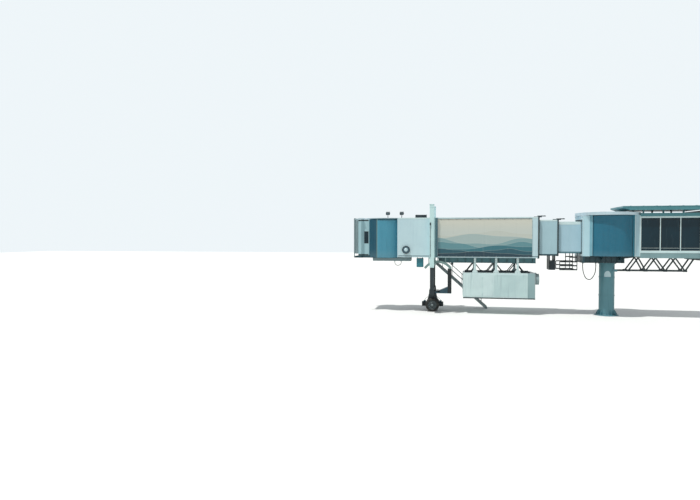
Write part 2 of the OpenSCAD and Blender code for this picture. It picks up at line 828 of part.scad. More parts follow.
module landing() {
    lug_w = 30;
    color("#5c6b70") mirror([0, 1, 0]) {
        block(landing_x0, landing_x0 + landing_length, c_half, landing_y,
            landing_top - landing_t, landing_top);
        for (x = [landing_x0 + 60, landing_x0 + landing_length - 100]) translate([x, 0, 0])
            rotate(90) side_plate([[c_half, c_base], [c_half + 60, c_base],
                [landing_y - 60, landing_top - landing_t], [c_half, landing_top - landing_t]], -40, 0);
        for (x = [landing_x0 + rail_d, landing_x0 + landing_length - 2 * rail_d])
            block(x, x + rail_d, landing_y - rail_d, landing_y, landing_top, landing_top + rail_h);
        block(landing_x0 + landing_length - 2 * rail_d, landing_x0 + landing_length - rail_d,
            c_half + rail_d, c_half + 2 * rail_d, landing_top, landing_top + rail_h);
        block(landing_x0 + rail_d, landing_x0 + 2 * rail_d,
            stair_y0 - 3 * rail_d, stair_y0 - 2 * rail_d, landing_top, landing_top + rail_h);
        for (z = [landing_top + rail_h / 2, landing_top + rail_h - rail_d]) {
            block(landing_x0 + rail_d, landing_x0 + landing_length - rail_d,
                landing_y - rail_d, landing_y, z, z + rail_d);
            block(landing_x0 + landing_length - 2 * rail_d, landing_x0 + landing_length - rail_d,
                c_half + rail_d, landing_y, z, z + rail_d);
            block(landing_x0 + rail_d, landing_x0 + 2 * rail_d, c_half, stair_y0 - 2 * rail_d,
                z, z + rail_d);
        }
        for (y = [stair_y0 - fit - lug_w, stair_y1 + fit]) difference() {
            block(stair_pin_x - 60, landing_x0 + 60, y, y + lug_w,
                stair_pin_z - 60, landing_top - landing_t + 1);
            translate([stair_pin_x, y + lug_w + 1, stair_pin_z]) rotate([90, 0, 0])
                cylinder(d = stair_pin_d + 2 * fit, h = lug_w + 2);
        }
    }
}

// Lift columns beside the outer tunnel
tube_wall = (lift_tube - ram_side) / 2 - fit;

module lift_columns() {
    cap_t = 40;
    cap_over = 20;
    color("#e4edef") both_sides() {
        difference() {
            block(lift_x - lift_tube / 2, lift_x + lift_tube / 2, lift_y - lift_tube / 2,
                lift_y + lift_tube / 2, lift_bottom, lift_top);
            block(lift_x - lift_tube / 2 + tube_wall, lift_x + lift_tube / 2 - tube_wall,
                lift_y - lift_tube / 2 + tube_wall, lift_y + lift_tube / 2 - tube_wall,
                lift_bottom - 1, lift_top - cap_t);
        }
        block(lift_x - lift_tube / 2 - cap_over, lift_x + lift_tube / 2 + cap_over,
            lift_y - lift_tube / 2 - cap_over, lift_y + lift_tube / 2 + cap_over,
            lift_top, lift_top + cap_t);
        block(bracket_x0, lift_x + lift_tube / 2, c_half, lift_y - lift_tube / 2,
            c_base, c_top - wall_t);
    }
}

// Longitudinal beams under the outer tunnel
beam_y = 1000;
beam_w = 200;
beam_z = c_base - 400;
beam_x0 = c_start + 120;
beam_x1 = lift_x - 500;
unit_x0 = c_start + 160;
unit_top = unit_bottom + unit_height;
hanger_x = [1300, 2900, 4500];

module underframe() {
    bar = 70;
    brace_y = 500;
    color("#27444b") {
        both_sides() i_beam(beam_x0, beam_x1, beam_y, beam_w, beam_z, c_base);
        for (x = [beam_x0, unit_x0 + hanger_x[0], unit_x0 + hanger_x[1], unit_x0 + hanger_x[2],
                beam_x1 - 120])
            block(x, x + 120, -beam_y - 80, beam_y + 80, beam_z, beam_z + 160);
        both_sides() for (k = [0:2]) {
            x = unit_x0 + hanger_x[k];
            brace(x + 60, beam_z + 60, x + 660, unit_top + 50, bar, brace_y, brace_y + bar);
            brace(x + 60, beam_z + 60, x - 540, unit_top + 50, bar, brace_y, brace_y + bar);
        }
        both_sides() block(unit_x0 + 300, unit_x0 + unit_length - 200, brace_y, brace_y + bar,
            unit_top, unit_top + 100);
    }
}

module air_unit_hangers() {
    hanger_w = 170;
    foot_w = 420;
    foot_h = 260;
    hanger_t = 90;
    color("#e4edef") both_sides() for (dx = hanger_x) translate([unit_x0 + dx, 0, 0])
        side_plate([[-hanger_w / 2, c_base], [-hanger_w / 2, unit_top + foot_h],
            [-foot_w / 2, unit_top + foot_h / 3], [-foot_w / 2, unit_top], [foot_w / 2, unit_top],
            [foot_w / 2, unit_top + foot_h / 3], [hanger_w / 2, unit_top + foot_h],
            [hanger_w / 2, c_base]], beam_y + beam_w, beam_y + beam_w + hanger_t);
}

module air_unit() {
    seam = 12;
    seam_d = 8;
    duct_r = 420;
    duct_l = 520;
    half = max(unit_width / 2, beam_y + beam_w + 100);
    seams = [620, 2300, 4100];
    color("#dfe9eb") {
        difference() {
            block(unit_x0, unit_x0 + unit_length, -half, half, unit_bottom, unit_top);
            for (dx = seams) both_sides() block(unit_x0 + unit_length - dx - seam,
                unit_x0 + unit_length - dx, half - seam_d, half + 1, unit_bottom - 1, unit_top + 1);
        }
        both_sides() translate([unit_x0 + 200, half / 2, unit_top - duct_r - 60]) rotate([0, -90, 0])
            cylinder(r = duct_r, h = duct_l);
    }
}

// Round deck under the cab, with the cab's pivot
cab_base = c_deck - 200;
cab_floor_r = cab_r - 10;
pivot_r = 150;

module cab_deck() {
    arm_y = 600;
    arm_w = 160;
    arm_h = 260;
    reach = 900;
    rear = c_end - 900;
    top = cab_base - clear;
    color("#44585c") {
        both_sides() block(rear, cab_x + reach, arm_y, arm_y + arm_w, top - arm_h, top);
        block(cab_x - 200, cab_x + 200, -arm_y - 10, arm_y + 10, top - arm_h, top);
        block(cab_x + reach - 120, cab_x + reach, -arm_y - 10, arm_y + 10, top - arm_h, top);
        translate([cab_x, 0, top - arm_h]) cylinder(r = 320, h = arm_h);
        translate([cab_x, 0, top - 1]) cylinder(r = pivot_r, h = 100);
        block(rear, c_end - 300, -arm_y - 10, arm_y + 10, top - arm_h, top - 60);
        both_sides() block(rear, c_end - 300, arm_y, arm_y + arm_w, top - 1, c_deck - plate_t);
        for (p = [cab_cable_points[0], cab_cable_points[len(cab_cable_points) - 1]])
            translate([p[0], cab_cable_y, top - arm_h - gland_h])
                cylinder(d = cab_cable_d + gland_rim, h = gland_h + 1);
    }
}

module cab_curtains() {
    color("#3b7f97") translate([cab_x, 0, 0]) both_sides() intersection() {
        ring(cab_r + curtain_t, cab_r, cab_base + 20, c_top - wall_t);
        wedge(cab_half_angle, 180 - cab_half_angle, 0, c_top);
    }
}

// Cable arch beside the lift, hung from the outer tunnel, with the duct that drops from it
module cable_guide() {
    arch_t = 160;
    arch_w = 200;
    half_angle = 55;
    arch_x = lift_x - 450;
    top = c_base - 250;
    duct_w = 300;
    duct_base = 1600;
    y0 = beam_y + beam_w + 40;
    hang_t = 60;
    hang_x = [-600, 0, 700];
    centre_z = top - arch_r;
    duct_x = arch_x - arch_r * sin(half_angle) + duct_w / 2;
    color("#20282b") {
        translate([arch_x, y0 + arch_w, centre_z]) rotate([90, 0, 0])
            rotate(90 - half_angle) rotate_extrude(angle = 2 * half_angle)
                translate([arch_r - arch_t, 0]) square([arch_t, arch_w]);
        block(duct_x - duct_w / 2, duct_x + duct_w / 2, y0 + 10, y0 + arch_w - 10, duct_base,
            centre_z + (arch_r - arch_t / 2) * cos(half_angle));
        for (dx = hang_x) block(arch_x + dx - hang_t / 2, arch_x + dx + hang_t / 2,
            c_half - floor_edge, c_half, centre_z + sqrt(pow(arch_r - 20, 2) - dx * dx), c_base);
    }
}

// Lamps: two floodlights and a control box on the roof, one lamp under the floor
module lamps() {
    lamp_y = 900;
    post_d = 50;
    post_h = 420;
    head = [300, 240, 200];
    roof_z = c_top - wall_t;
    box_l = 900;
    box_w = 420;
    box_h = 260;
    box_x = lift_x + 500;
    under_x = lift_x - 1560;
    color("#c9d6da") {
        for (x = [c_front - 300, cab_x - 350]) {
            difference() {
                translate([x, lamp_y, roof_z]) cylinder(d = post_d, h = post_h);
                c_roof_plate();
            }
            translate([x, lamp_y, roof_z + post_h]) rotate([-20, 0, 0]) difference() {
                translate([-head[0] / 2, -head[1] / 2, -head[2] / 2]) cube(head);
                translate([20 - head[0] / 2, head[1] / 2 - 30, 20 - head[2] / 2])
                    cube([head[0] - 40, 31, head[2] - 40]);
            }
        }
        difference() {
            block(box_x, box_x + box_l, -box_w / 2, box_w / 2, roof_z, c_top + box_h);
            c_roof_plate();
        }
        for (k = [0:5]) block(box_x + 80 + k * 140, box_x + 120 + k * 140, -box_w / 2 - 12,
            box_w / 2 + 12, c_top + 60, c_top + box_h - 60);
        translate([under_x, beam_y + beam_w / 2, beam_z - 160]) cylinder(r = 90, h = 160);
    }
}

// Hose reel on the near wall, close to the cab
module wall_reel() {
    reel_r = 300;
    drum_r = 170;
    disc_t = 18;
    drum_w = 150;
    reel_x = c_end - 620;
    reel_z = c_deck + 460;
    y0 = c_half + 40;
    color("#4d7078") {
        translate([reel_x, y0, reel_z]) rotate([-90, 0, 0]) rotate_extrude()
            polygon([[0, 0], [reel_r, 0], [reel_r, disc_t], [drum_r, disc_t],
                [drum_r, drum_w - disc_t], [reel_r, drum_w - disc_t], [reel_r, drum_w],
                [reel_r - 60, drum_w], [reel_r - 90, drum_w - 10], [90, drum_w - 10], [60, drum_w],
                [0, drum_w]]);
        block(reel_x - 60, reel_x + 60, c_half, y0 + 1, reel_z - 60, reel_z + 60);
    }
}

// Rams and cross beam
beam_base_z = beam_top - beam_depth;
ram_top = lift_top - 1300;
bogie_pin_r = 110;

module lift_rams() {
    beam_half_x = 200;
    color("#2b3a3e") {
        both_sides() block(lift_x - ram_side / 2, lift_x + ram_side / 2, lift_y - ram_side / 2,
            lift_y + ram_side / 2, beam_top - 10, ram_top);
        difference() {
            block(lift_x - beam_half_x, lift_x + beam_half_x, -lift_y - lift_tube / 2,
                lift_y + lift_tube / 2, beam_base_z, beam_top);
            translate([lift_x, 0, beam_base_z - 1])
                cylinder(r = bogie_pin_r + fit, h = beam_depth - 100 + 1);
        }
    }
}

// Hydraulic pack carried behind the cross beam
module power_pack() {
    pack_half = 450;
    rear = lift_x - 1500;
    front = lift_x - 200;
    low = beam_base_z + 10;
    top = beam_top + 150;
    color("#3d6570") difference() {
        side_plate([[rear, low], [front, low], [front, low + 160], [front - 250, low + 160],
            [rear + 200, top], [rear, top]], -pack_half, pack_half);
        for (y = [-pack_half - 1, pack_half - 11]) for (k = [0:3])
            block(rear + 80 + k * 110, rear + 140 + k * 110, y, y + 12, low + 80, low + 240);
    }
}

// Bogie with two wheels on one axle
axle_r = 70;

module bogie_frame() {
    yoke_x = 430;
    yoke_y = wheel_y - wheel_w / 2 - 40;
    motor_r = 190;
    motor_l = 420;
    top = beam_base_z - fit;
    color("#26343a") translate([lift_x, 0, 0]) {
        translate([0, 0, top - 80]) cylinder(r = 300, h = 80);
        translate([0, 0, top - 1]) cylinder(r = bogie_pin_r, h = beam_depth - 140);
        translate([0, yoke_y, 0]) rotate([90, 0, 0]) linear_extrude(2 * yoke_y)
            polygon([[-yoke_x, wheel_r - 180], [yoke_x, wheel_r - 180], [yoke_x, wheel_r + 200],
                [300, top - 79], [-300, top - 79], [-yoke_x, wheel_r + 200]]);
        translate([0, wheel_y + wheel_w / 2 + 30, wheel_r]) rotate([90, 0, 0])
            cylinder(r = axle_r, h = 2 * wheel_y + wheel_w + 60);
        for (s = [-1, 1]) translate([s * yoke_x, 0, wheel_r + 20]) rotate([0, s * 90, 0])
            cylinder(r = motor_r, h = motor_l);
    }
}

module wheel() {
    shoulder = 50;
    rim_r = wheel_r - 190;
    w = wheel_w / 2;
    color("#1b1d1e") rotate([90, 0, 0]) rotate_extrude()
        polygon([[axle_r + fit, -w + 20], [200, -w + 20], [230, -w + 60], [rim_r - 40, -w + 60],
            [rim_r, -w + 10], [wheel_r - 90, -w], [wheel_r - 20, -w + shoulder],
            [wheel_r, -w + 2 * shoulder], [wheel_r, w - 2 * shoulder], [wheel_r - 20, w - shoulder],
            [wheel_r - 90, w], [rim_r, w - 10], [rim_r - 40, w - 60], [230, w - 60],
            [200, w - 20], [axle_r + fit, w - 20]]);
}

module wheel_near() {
    translate([lift_x, wheel_y, wheel_r]) wheel();
}

module wheel_far() {
    translate([lift_x, -wheel_y, wheel_r]) wheel();
}

// Cab
cab_ceiling = c_top - wall_t - 80;
cab_roof_t = 60;
cab_wall_t = 60;
cab_rear = cab_post_x;
flare_x0 = 1580;
flare_x1 = 1800;
canopy_hinge_x = cab_front + canopy_depth - 30;
canopy_hinge_z = cab_base + 100;
canopy_pin_d = 40;
bumper_t = 150;

// Plan of one side wall of the cab, flared towards the front
module cab_side_plan() {
    polygon([[cab_rear, cab_half - cab_wall_t], [flare_x0, cab_half - cab_wall_t],
        [flare_x1, cab_wide_half - cab_wall_t], [cab_front, cab_wide_half - cab_wall_t],
        [cab_front, cab_wide_half], [flare_x1 - 30, cab_wide_half], [flare_x0 - 30, cab_half],
        [cab_rear, cab_half]]);
}

// Outline of the cab floor and roof in front of the cab axis
module cab_front_plan() {
    polygon([[0, -cab_half + cab_wall_t], [flare_x0, -cab_half], [flare_x1 - 30, -cab_wide_half],
        [cab_front, -cab_wide_half], [cab_front, cab_wide_half], [flare_x1 - 30, cab_wide_half],
        [flare_x0, cab_half], [0, cab_half - cab_wall_t]]);
}

// The front plan as a plate, cut back from the ends of the curtains
module cab_front_plate(z0, z1) {
    difference() {
        translate([0, 0, z0]) linear_extrude(z1 - z0) cab_front_plan();
        intersection() {
            ring(cab_r + curtain_t + clear, cab_floor_r - 1, z0 - 1, z1 + 1);
            both_sides() wedge(cab_half_angle - 0.5, 90, z0 - 2, z1 + 2);
        }
    }
}

module cab_floor() {
    bracket_t = 30;
    bracket_y = cab_wide_half - 130;
    color("#5c6b70") translate([cab_x, 0, 0]) {
        difference() {
            union() {
                translate([0, 0, cab_base]) cylinder(r = cab_floor_r, h = c_deck - cab_base);
                cab_front_plate(cab_base, c_deck);
            }
            translate([0, 0, cab_base - 1]) cylinder(r = pivot_r + fit, h = 121);
        }
        both_sides() difference() {
            side_plate([[cab_front - 60, cab_base], [canopy_hinge_x + 40, cab_base],
                [canopy_hinge_x + 40, canopy_hinge_z + 40], [canopy_hinge_x - 60, canopy_hinge_z + 40],
                [cab_front - 60, c_deck]], bracket_y - bracket_t, bracket_y);
            translate([canopy_hinge_x, bracket_y + 1, canopy_hinge_z]) rotate([90, 0, 0])
                cylinder(d = canopy_pin_d + 2 * fit, h = bracket_t + 2);
        }
    }
}

module cab_bumper() {
    color("#1e2224") translate([cab_x + cab_front, 0, 0])
        block(0, bumper_t, -cab_wide_half + 180, cab_wide_half - 180, cab_base + 20, c_deck - 10);
}

module cab_walls() {
    front_t = 60;
    door_half = cab_wide_half - 180;
    door_top = cab_ceiling - 260;
    window_x0 = 1240;
    window_w = 280;
    window_z = c_deck + 990;
    window_h = 900;
    color("#dbe6e9") translate([cab_x, 0, 0]) difference() {
        union() {
            both_sides() translate([0, 0, c_deck]) linear_extrude(cab_ceiling - c_deck) cab_side_plan();
            block(cab_front - front_t, cab_front, -cab_wide_half + 1, cab_wide_half - 1,
                c_deck, cab_ceiling);
        }
        block(cab_front - front_t - 1, cab_front + 1, -door_half, door_half, c_deck - 1, door_top);
        block(window_x0, window_x0 + window_w, -cab_half - 1, cab_half + 1,
            window_z, window_z + window_h);
        translate([0, 0, c_deck - 1]) cylinder(r = cab_r + curtain_t + 2, h = cab_ceiling);
    }
}

module cab_roof() {
    color("#d5e4e8") translate([cab_x, 0, 0]) {
        translate([0, 0, cab_ceiling]) cylinder(r = cab_floor_r, h = cab_roof_t);
        cab_front_plate(cab_ceiling, cab_ceiling + cab_roof_t);
        block(flare_x0 + 40, cab_front, -cab_wide_half, cab_wide_half,
            cab_ceiling + cab_roof_t - 1, cab_ceiling + cab_roof_t + 70);
    }
}

module cab_window() {
    color("#15303a") translate([cab_x, 0, 0]) both_sides()
        block(1240, 1520, cab_half - 40, cab_half - 20, c_deck + 990, c_deck + 1890);
}

// Canopy: a bow hinged at the cab floor and its bellows
bow_t = 60;
bow_half = cab_wide_half - 60;
bow_top = cab_ceiling + cab_roof_t + 60;

module canopy_bow() {
    leg_y = cab_wide_half - 130 + fit;
    color("#6d7c81") translate([cab_x, 0, 0]) {
        difference() {
            block(canopy_hinge_x - 30, canopy_hinge_x + 30, -bow_half - 60, bow_half + 60,
                canopy_hinge_z + 60, bow_top);
            block(canopy_hinge_x - 31, canopy_hinge_x + 31, -bow_half, bow_half,
                canopy_hinge_z + 59, bow_top - bow_t);
        }
        both_sides() {
            block(canopy_hinge_x - 30, canopy_hinge_x + 30, leg_y, bow_half + 60,
                canopy_hinge_z - 40, canopy_hinge_z + 61);
            translate([canopy_hinge_x, leg_y + 1, canopy_hinge_z]) rotate([90, 0, 0])
                cylinder(d = canopy_pin_d, h = 60);
        }
    }
}

module canopy_bellows() {
    skin = 60;
    reach = canopy_hinge_x - 30 - fit - cab_front;
    color("#3a4448") translate([cab_x + cab_front, 0, 0]) difference() {
        block(0, reach, -bow_half - 20, bow_half + 20, c_deck + 120, bow_top - 20);
        block(-1, reach + 1, -bow_half - 20 + skin, bow_half + 20 - skin,
            c_deck + 119, bow_top - 20 - skin);
    }
}

// Service stair, from the landing down to a pair of rollers on the ground
stair_roller_r = 90;
stair_foot_x = stair_pin_x - stair_run;
stair_rise = stair_pin_z - stair_roller_r;
stringer_h = 220;

module stair_flight() {
    tread_l = 250;
    tread_t = 35;
    tread_y0 = stair_y0 + stringer_t - 1;
    tread_y1 = stair_y1 - stringer_t + 1;
    color("#5c6b70") mirror([0, 1, 0]) {
        for (y = [stair_y0, stair_y1 - stringer_t]) {
            brace(stair_pin_x, stair_pin_z, stair_foot_x, stair_roller_r, stringer_h, y, y + stringer_t);
            translate([stair_pin_x, y + stringer_t, stair_pin_z]) rotate([90, 0, 0])
                cylinder(r = 55, h = stringer_t);
        }
        for (k = [1:treads]) {
            x = stair_pin_x - stair_run * k / (treads + 1);
            z = stair_pin_z - stair_rise * k / (treads + 1);
            block(x - tread_l / 2, x + tread_l / 2, tread_y0, tread_y1, z + 10, z + 10 + tread_t);
        }
        translate([stair_pin_x, stair_y1 + fit + 40, stair_pin_z]) rotate([90, 0, 0])
            cylinder(d = stair_pin_d, h = stair_width + 2 * fit + 80);
        translate([stair_foot_x, stair_y1 + 60, stair_roller_r]) rotate([90, 0, 0])
            cylinder(r = 30, h = stair_width + 120);
        for (y = [stair_y0 - 5, stair_y1 + 60]) translate([stair_foot_x, y, stair_roller_r])
            rotate([90, 0, 0]) cylinder(r = stair_roller_r, h = 55);
    }
}

module stair_rails() {
    hand = stringer_t - 4;
    rise_up = 1000;
    posts = 5;
    dx = stair_run / (posts + 1);
    dz = stair_rise / (posts + 1);
    color("#6d7c81") mirror([0, 1, 0]) for (y = [stair_y0 + 2, stair_y1 - hand - 2]) {
        for (h = [rise_up, rise_up / 2 + 60])
            brace(stair_pin_x - dx / 2, stair_pin_z - dz / 2 + h, stair_foot_x + dx / 2,
                stair_roller_r + dz / 2 + h, hand, y, y + hand);
        for (k = [0:posts]) {
            x = stair_pin_x - dx * (k + 0.5);
            z = stair_pin_z - dz * (k + 0.5);
            difference() {
                block(x - hand / 2, x + hand / 2, y, y + hand, z, z + rise_up);
                brace(stair_pin_x, stair_pin_z, stair_foot_x, stair_roller_r, stringer_h,
                    y - 1, y + hand + 1);
            }
        }
    }
}

module rotunda_cable() {
    color("#15191b") swept_tube(curve(rotunda_cable_points, 3), rotunda_cable_y, rotunda_cable_d);
}

module cab_cable() {
    color("#15191b") swept_tube(curve(cab_cable_points, 3), cab_cable_y, cab_cable_d);
}

column_base();
column();
rotunda_floor();
rotunda_roof();
portal();
rotunda_curtains();
corridor_floor();
corridor_roof();
corridor_frames();
corridor_glass();
corridor_truss();
corridor_flange();
turntable();
turntable_floor();
vestibule_walls();
vestibule_front();
vestibule_roof();
a_floor();
a_walls();
a_roof();
cable_rack();
b_floor();
b_walls();
b_roof();
b_end_frame();
b_cable_box();
c_floor();
c_wall_near();
c_wall_far();
c_roof();
c_end_frame();
c_bulkhead();
art_board();
service_door();
landing();
lift_columns();
underframe();
air_unit_hangers();
air_unit();
cab_deck();
cab_curtains();
cable_guide();
lamps();
wall_reel();
lift_rams();
power_pack();
bogie_frame();
wheel_near();
wheel_far();
cab_floor();
cab_walls();
cab_roof();
cab_window();
cab_bumper();
canopy_bow();
canopy_bellows();
stair_flight();
stair_rails();
rotunda_cable();
cab_cable();
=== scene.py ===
# Looks of the jet bridge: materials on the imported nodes, slatted curtains, pleated canopy,
# cables, tyres and the small fittings that the construction leaves out. Metres, +Z up.
from math import asin, cos, hypot, pi, radians, sin, sqrt

import bmesh
import bpy
from mathutils import Matrix, Vector


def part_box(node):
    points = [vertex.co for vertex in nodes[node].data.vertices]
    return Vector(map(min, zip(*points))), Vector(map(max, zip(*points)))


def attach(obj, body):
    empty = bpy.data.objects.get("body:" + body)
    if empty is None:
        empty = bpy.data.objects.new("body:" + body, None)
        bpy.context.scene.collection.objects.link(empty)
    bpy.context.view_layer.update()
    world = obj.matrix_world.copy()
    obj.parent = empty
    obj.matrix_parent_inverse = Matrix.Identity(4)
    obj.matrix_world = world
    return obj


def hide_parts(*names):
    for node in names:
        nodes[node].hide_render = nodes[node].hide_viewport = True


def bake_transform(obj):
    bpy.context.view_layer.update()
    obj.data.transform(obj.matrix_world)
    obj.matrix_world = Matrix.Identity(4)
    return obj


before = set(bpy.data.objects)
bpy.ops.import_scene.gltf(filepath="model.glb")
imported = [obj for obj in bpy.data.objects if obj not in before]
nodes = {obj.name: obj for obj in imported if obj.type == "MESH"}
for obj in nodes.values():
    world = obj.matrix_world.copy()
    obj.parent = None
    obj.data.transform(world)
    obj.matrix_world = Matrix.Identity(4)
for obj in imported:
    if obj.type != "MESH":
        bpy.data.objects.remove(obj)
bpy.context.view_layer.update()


# Places and sizes that several functions use

X, Y, Z = Vector((1, 0, 0)), Vector((0, 1, 0)), Vector((0, 0, 1))
ROTUNDA_AXIS, CAB_AXIS = (0, 0), (17.1, 0)
CORRIDOR_HALF = 1.4
# Half width, base and top of each tunnel
TUNNEL_A, TUNNEL_B, TUNNEL_C = (1.05, 4.75, 7.16), (1.22, 4.56, 7.3), (1.4, 4.37, 7.52)
SEAM_PITCH = 1.18
LIFT_X, AXLE_Z = 13.2, 0.55
HANGER_X = (6.7, 8.3, 9.9)
STAIR_TREADS = 19


# Camera and light

EYE = Vector((11.3, 45.1, 6.0))
VIEW = Vector((0.19, -0.98, -0.024))
FOCAL, SENSOR = 28.3, 36
SUN_AZIMUTH, SUN_ELEVATION = 42, 69
SUN_STRENGTH, SKY_STRENGTH = 2.7, 0.5


def add_object(name, data):
    made = bpy.data.objects.new(name, data)
    bpy.context.scene.collection.objects.link(made)
    return made


def make_camera():
    data = bpy.data.cameras.new("camera")
    data.lens, data.sensor_width, data.clip_end = FOCAL, SENSOR, 500
    camera = add_object("camera", data)
    camera.location = EYE
    camera.rotation_euler = VIEW.to_track_quat("-Z", "Y").to_euler()
    bpy.context.scene.camera = camera


def make_light():
    sun = bpy.data.lights.new("sun", "SUN")
    sun.energy, sun.angle, sun.color = SUN_STRENGTH, radians(1.5), (1.0, 0.975, 0.94)
    a, e = radians(SUN_AZIMUTH), radians(SUN_ELEVATION)
    to_sun = Vector((cos(a) * cos(e), sin(a) * cos(e), sin(e)))
    add_object("sun", sun).rotation_euler = to_sun.to_track_quat("Z", "Y").to_euler()
    world = bpy.data.worlds.new("sky")
    world.use_nodes = True
    tree = world.node_tree
    light, seen = tree.nodes["Background"], tree.nodes.new("ShaderNodeBackground")
    for node, colour, strength in (
        (light, (0.93, 0.96, 1.0, 1), SKY_STRENGTH), (seen, (0.86, 0.92, 0.95, 1), 1),
    ):
        node.inputs["Color"].default_value = colour
        node.inputs["Strength"].default_value = strength
    # The camera, metal and glass see the pale background, whatever the strength of the light
    rays = tree.nodes.new("ShaderNodeLightPath").outputs
    total = rays["Is Camera Ray"]
    for name in ("Is Glossy Ray", "Is Transmission Ray"):
        most = tree.nodes.new("ShaderNodeMath")
        most.operation = "MAXIMUM"
        tree.links.new(total, most.inputs[0])
        tree.links.new(rays[name], most.inputs[1])
        total = most.outputs[0]
    pick = tree.nodes.new("ShaderNodeMixShader")
    for index, socket in enumerate((total, light.outputs[0], seen.outputs[0])):
        tree.links.new(socket, pick.inputs[index])
    tree.links.new(pick.outputs[0], tree.nodes["World Output"].inputs[0])
    bpy.context.scene.world = world
    bpy.context.scene.view_settings.view_transform = "Standard"


# Shader helpers

DRIPS = (1, 1, 0.05)


def rgb(text):
    """A hex colour as linear red, green, blue and alpha."""
    parts = [int(text[i : i + 2], 16) / 255 for i in (1, 3, 5)]
    return tuple(c / 12.92 if c <= 0.04045 else ((c + 0.055) / 1.055) ** 2.4 for c in parts) + (1,)


class Shader:
    """A material under construction, in object coordinates."""

    def __init__(self, name, colour, rough=0.5, metal=0.0, coat=0.0):
        self.material = bpy.data.materials.new(name)
        self.material.use_nodes = True
        self.tree = self.material.node_tree
        self.bsdf = self.tree.nodes["Principled BSDF"]
        for socket, value in (("Base Color", rgb(colour)), ("Roughness", rough),
                              ("Metallic", metal), ("Coat Weight", coat)):
            self.bsdf.inputs[socket].default_value = value
        self.place = self.tree.nodes.new("ShaderNodeTexCoord").outputs["Object"]
        self.colour = self.normal = None
        self.material.diffuse_color = rgb(colour)

    def node(self, kind, inputs=(), **settings):
        made = self.tree.nodes.new("ShaderNode" + kind)
        for key, value in settings.items():
            setattr(made, key, value)
        for key, value in dict(inputs).items():
            if isinstance(value, bpy.types.NodeSocket):
                self.tree.links.new(value, made.inputs[key])
            else:
                made.inputs[key].default_value = value
        return made

    def noise(self, scale, detail=3, stretch=(1, 1, 1), low=0.35, high=0.65):
        """Noise from 0 to 1 in stretched coordinates, steepened between two levels."""
        place = self.node("Mapping", {"Vector": self.place, "Scale": stretch}).outputs[0]
        inputs = {"Vector": place, "Scale": scale, "Detail": detail}
        return self.ramp(self.node("TexNoise", inputs).outputs[0], low, high)

    def ramp(self, value, low, high, out_low=0.0, out_high=1.0):
        inputs = {"Value": value, "From Min": low, "From Max": high,
                  "To Min": out_low, "To Max": out_high}
        return self.node("MapRange", inputs, interpolation_type="SMOOTHSTEP").outputs[0]

    def math(self, kind, a, b=0.0):
        return self.node("Math", {0: a, 1: b}, operation=kind).outputs[0]

    def times(self, a, b):
        return self.math("MULTIPLY", a, b)

    def zigzag(self, value, rate):
        """0 to 0.5 and back, at a rate along a coordinate."""
        return self.math("PINGPONG", self.times(value, rate), 0.5)

    def axes(self):
        return self.node("SeparateXYZ", {0: self.place}).outputs

    def upward(self):
        """1 on faces that look up, else 0."""
        normal = self.node("NewGeometry").outputs["Normal"]
        return self.ramp(self.node("SeparateXYZ", {0: normal}).outputs[2], 0.6, 0.8)

    def tint(self, colour, factor, share=1.0):
        """Lays a colour over what is there, by a factor from 0 to 1."""
        base = self.colour or self.bsdf.inputs["Base Color"].default_value[:]
        if share != 1.0:
            factor = self.times(factor, share)
        mix = self.node("Mix", {0: factor, 6: base, 7: rgb(colour)}, data_type="RGBA")
        self.colour = mix.outputs[2]
        return self

    def tint_from(self, colour, axis, low, high):
        """Lays a colour over the part past a step along one axis."""
        return self.tint(colour, self.ramp(self.axes()[axis], low, high))

    def roughen(self, factor, low, high):
        self.tree.links.new(self.ramp(factor, 0, 1, low, high), self.bsdf.inputs["Roughness"])
        return self

    def bump(self, height, depth, strength=0.6):
        inputs = {"Height": height, "Distance": depth, "Strength": strength}
        self.normal = self.node("Bump", inputs).outputs[0]
        return self

    def grain(self, scale, detail, depth, strength=0.6):
        """Fine bumps all over."""
        return self.bump(self.noise(scale, detail, low=0, high=1), depth, strength)

    def done(self):
        for socket, value in (("Base Color", self.colour), ("Normal", self.normal)):
            if value is not None:
                self.tree.links.new(value, self.bsdf.inputs[socket])
        return self.material


def painted(name, colour, dark, rough=0.42, streaks=0.3, grime=0.25, coat=0.1, zones=None,
            panels=None):
    """Painted sheet steel: cloudy tone, rain streaks, dust and a faint orange peel.

    zones lays other colours over parts of it first, and panels gives each sheet of that width
    its own tone.
    """
    s = Shader(name, colour, rough=rough, coat=coat)
    if zones:
        zones(s)
    if panels:
        sheet = s.math("FLOOR", s.times(s.math("ADD", s.axes()[0], 20.0), 1 / panels))
        tone = s.node("TexWhiteNoise", {"W": sheet}, noise_dimensions="1D").outputs[0]
        s.tint(dark, tone, 0.22)
    cloud = s.noise(0.9, 4, low=0.3, high=0.75)
    rain = s.noise(9, 3, DRIPS, 0.52, 0.78)
    specks = s.noise(38, 2, low=0.62, high=0.8)
    s.tint(dark, cloud, grime).tint(dark, rain, streaks).tint(dark, specks, grime)
    s.roughen(cloud, rough - 0.08, rough + 0.16)
    return s.grain(120, 2, 0.0006, 0.35).done()


def worn(name, colour, bare="#8a9396"):
    """The edges of a painted piece, rubbed through in places."""
    s = Shader(name, colour, rough=0.45)
    s.tint(bare, s.noise(14, 5, low=0.48, high=0.66), 0.75)
    return s.roughen(s.noise(6), 0.35, 0.6).done()


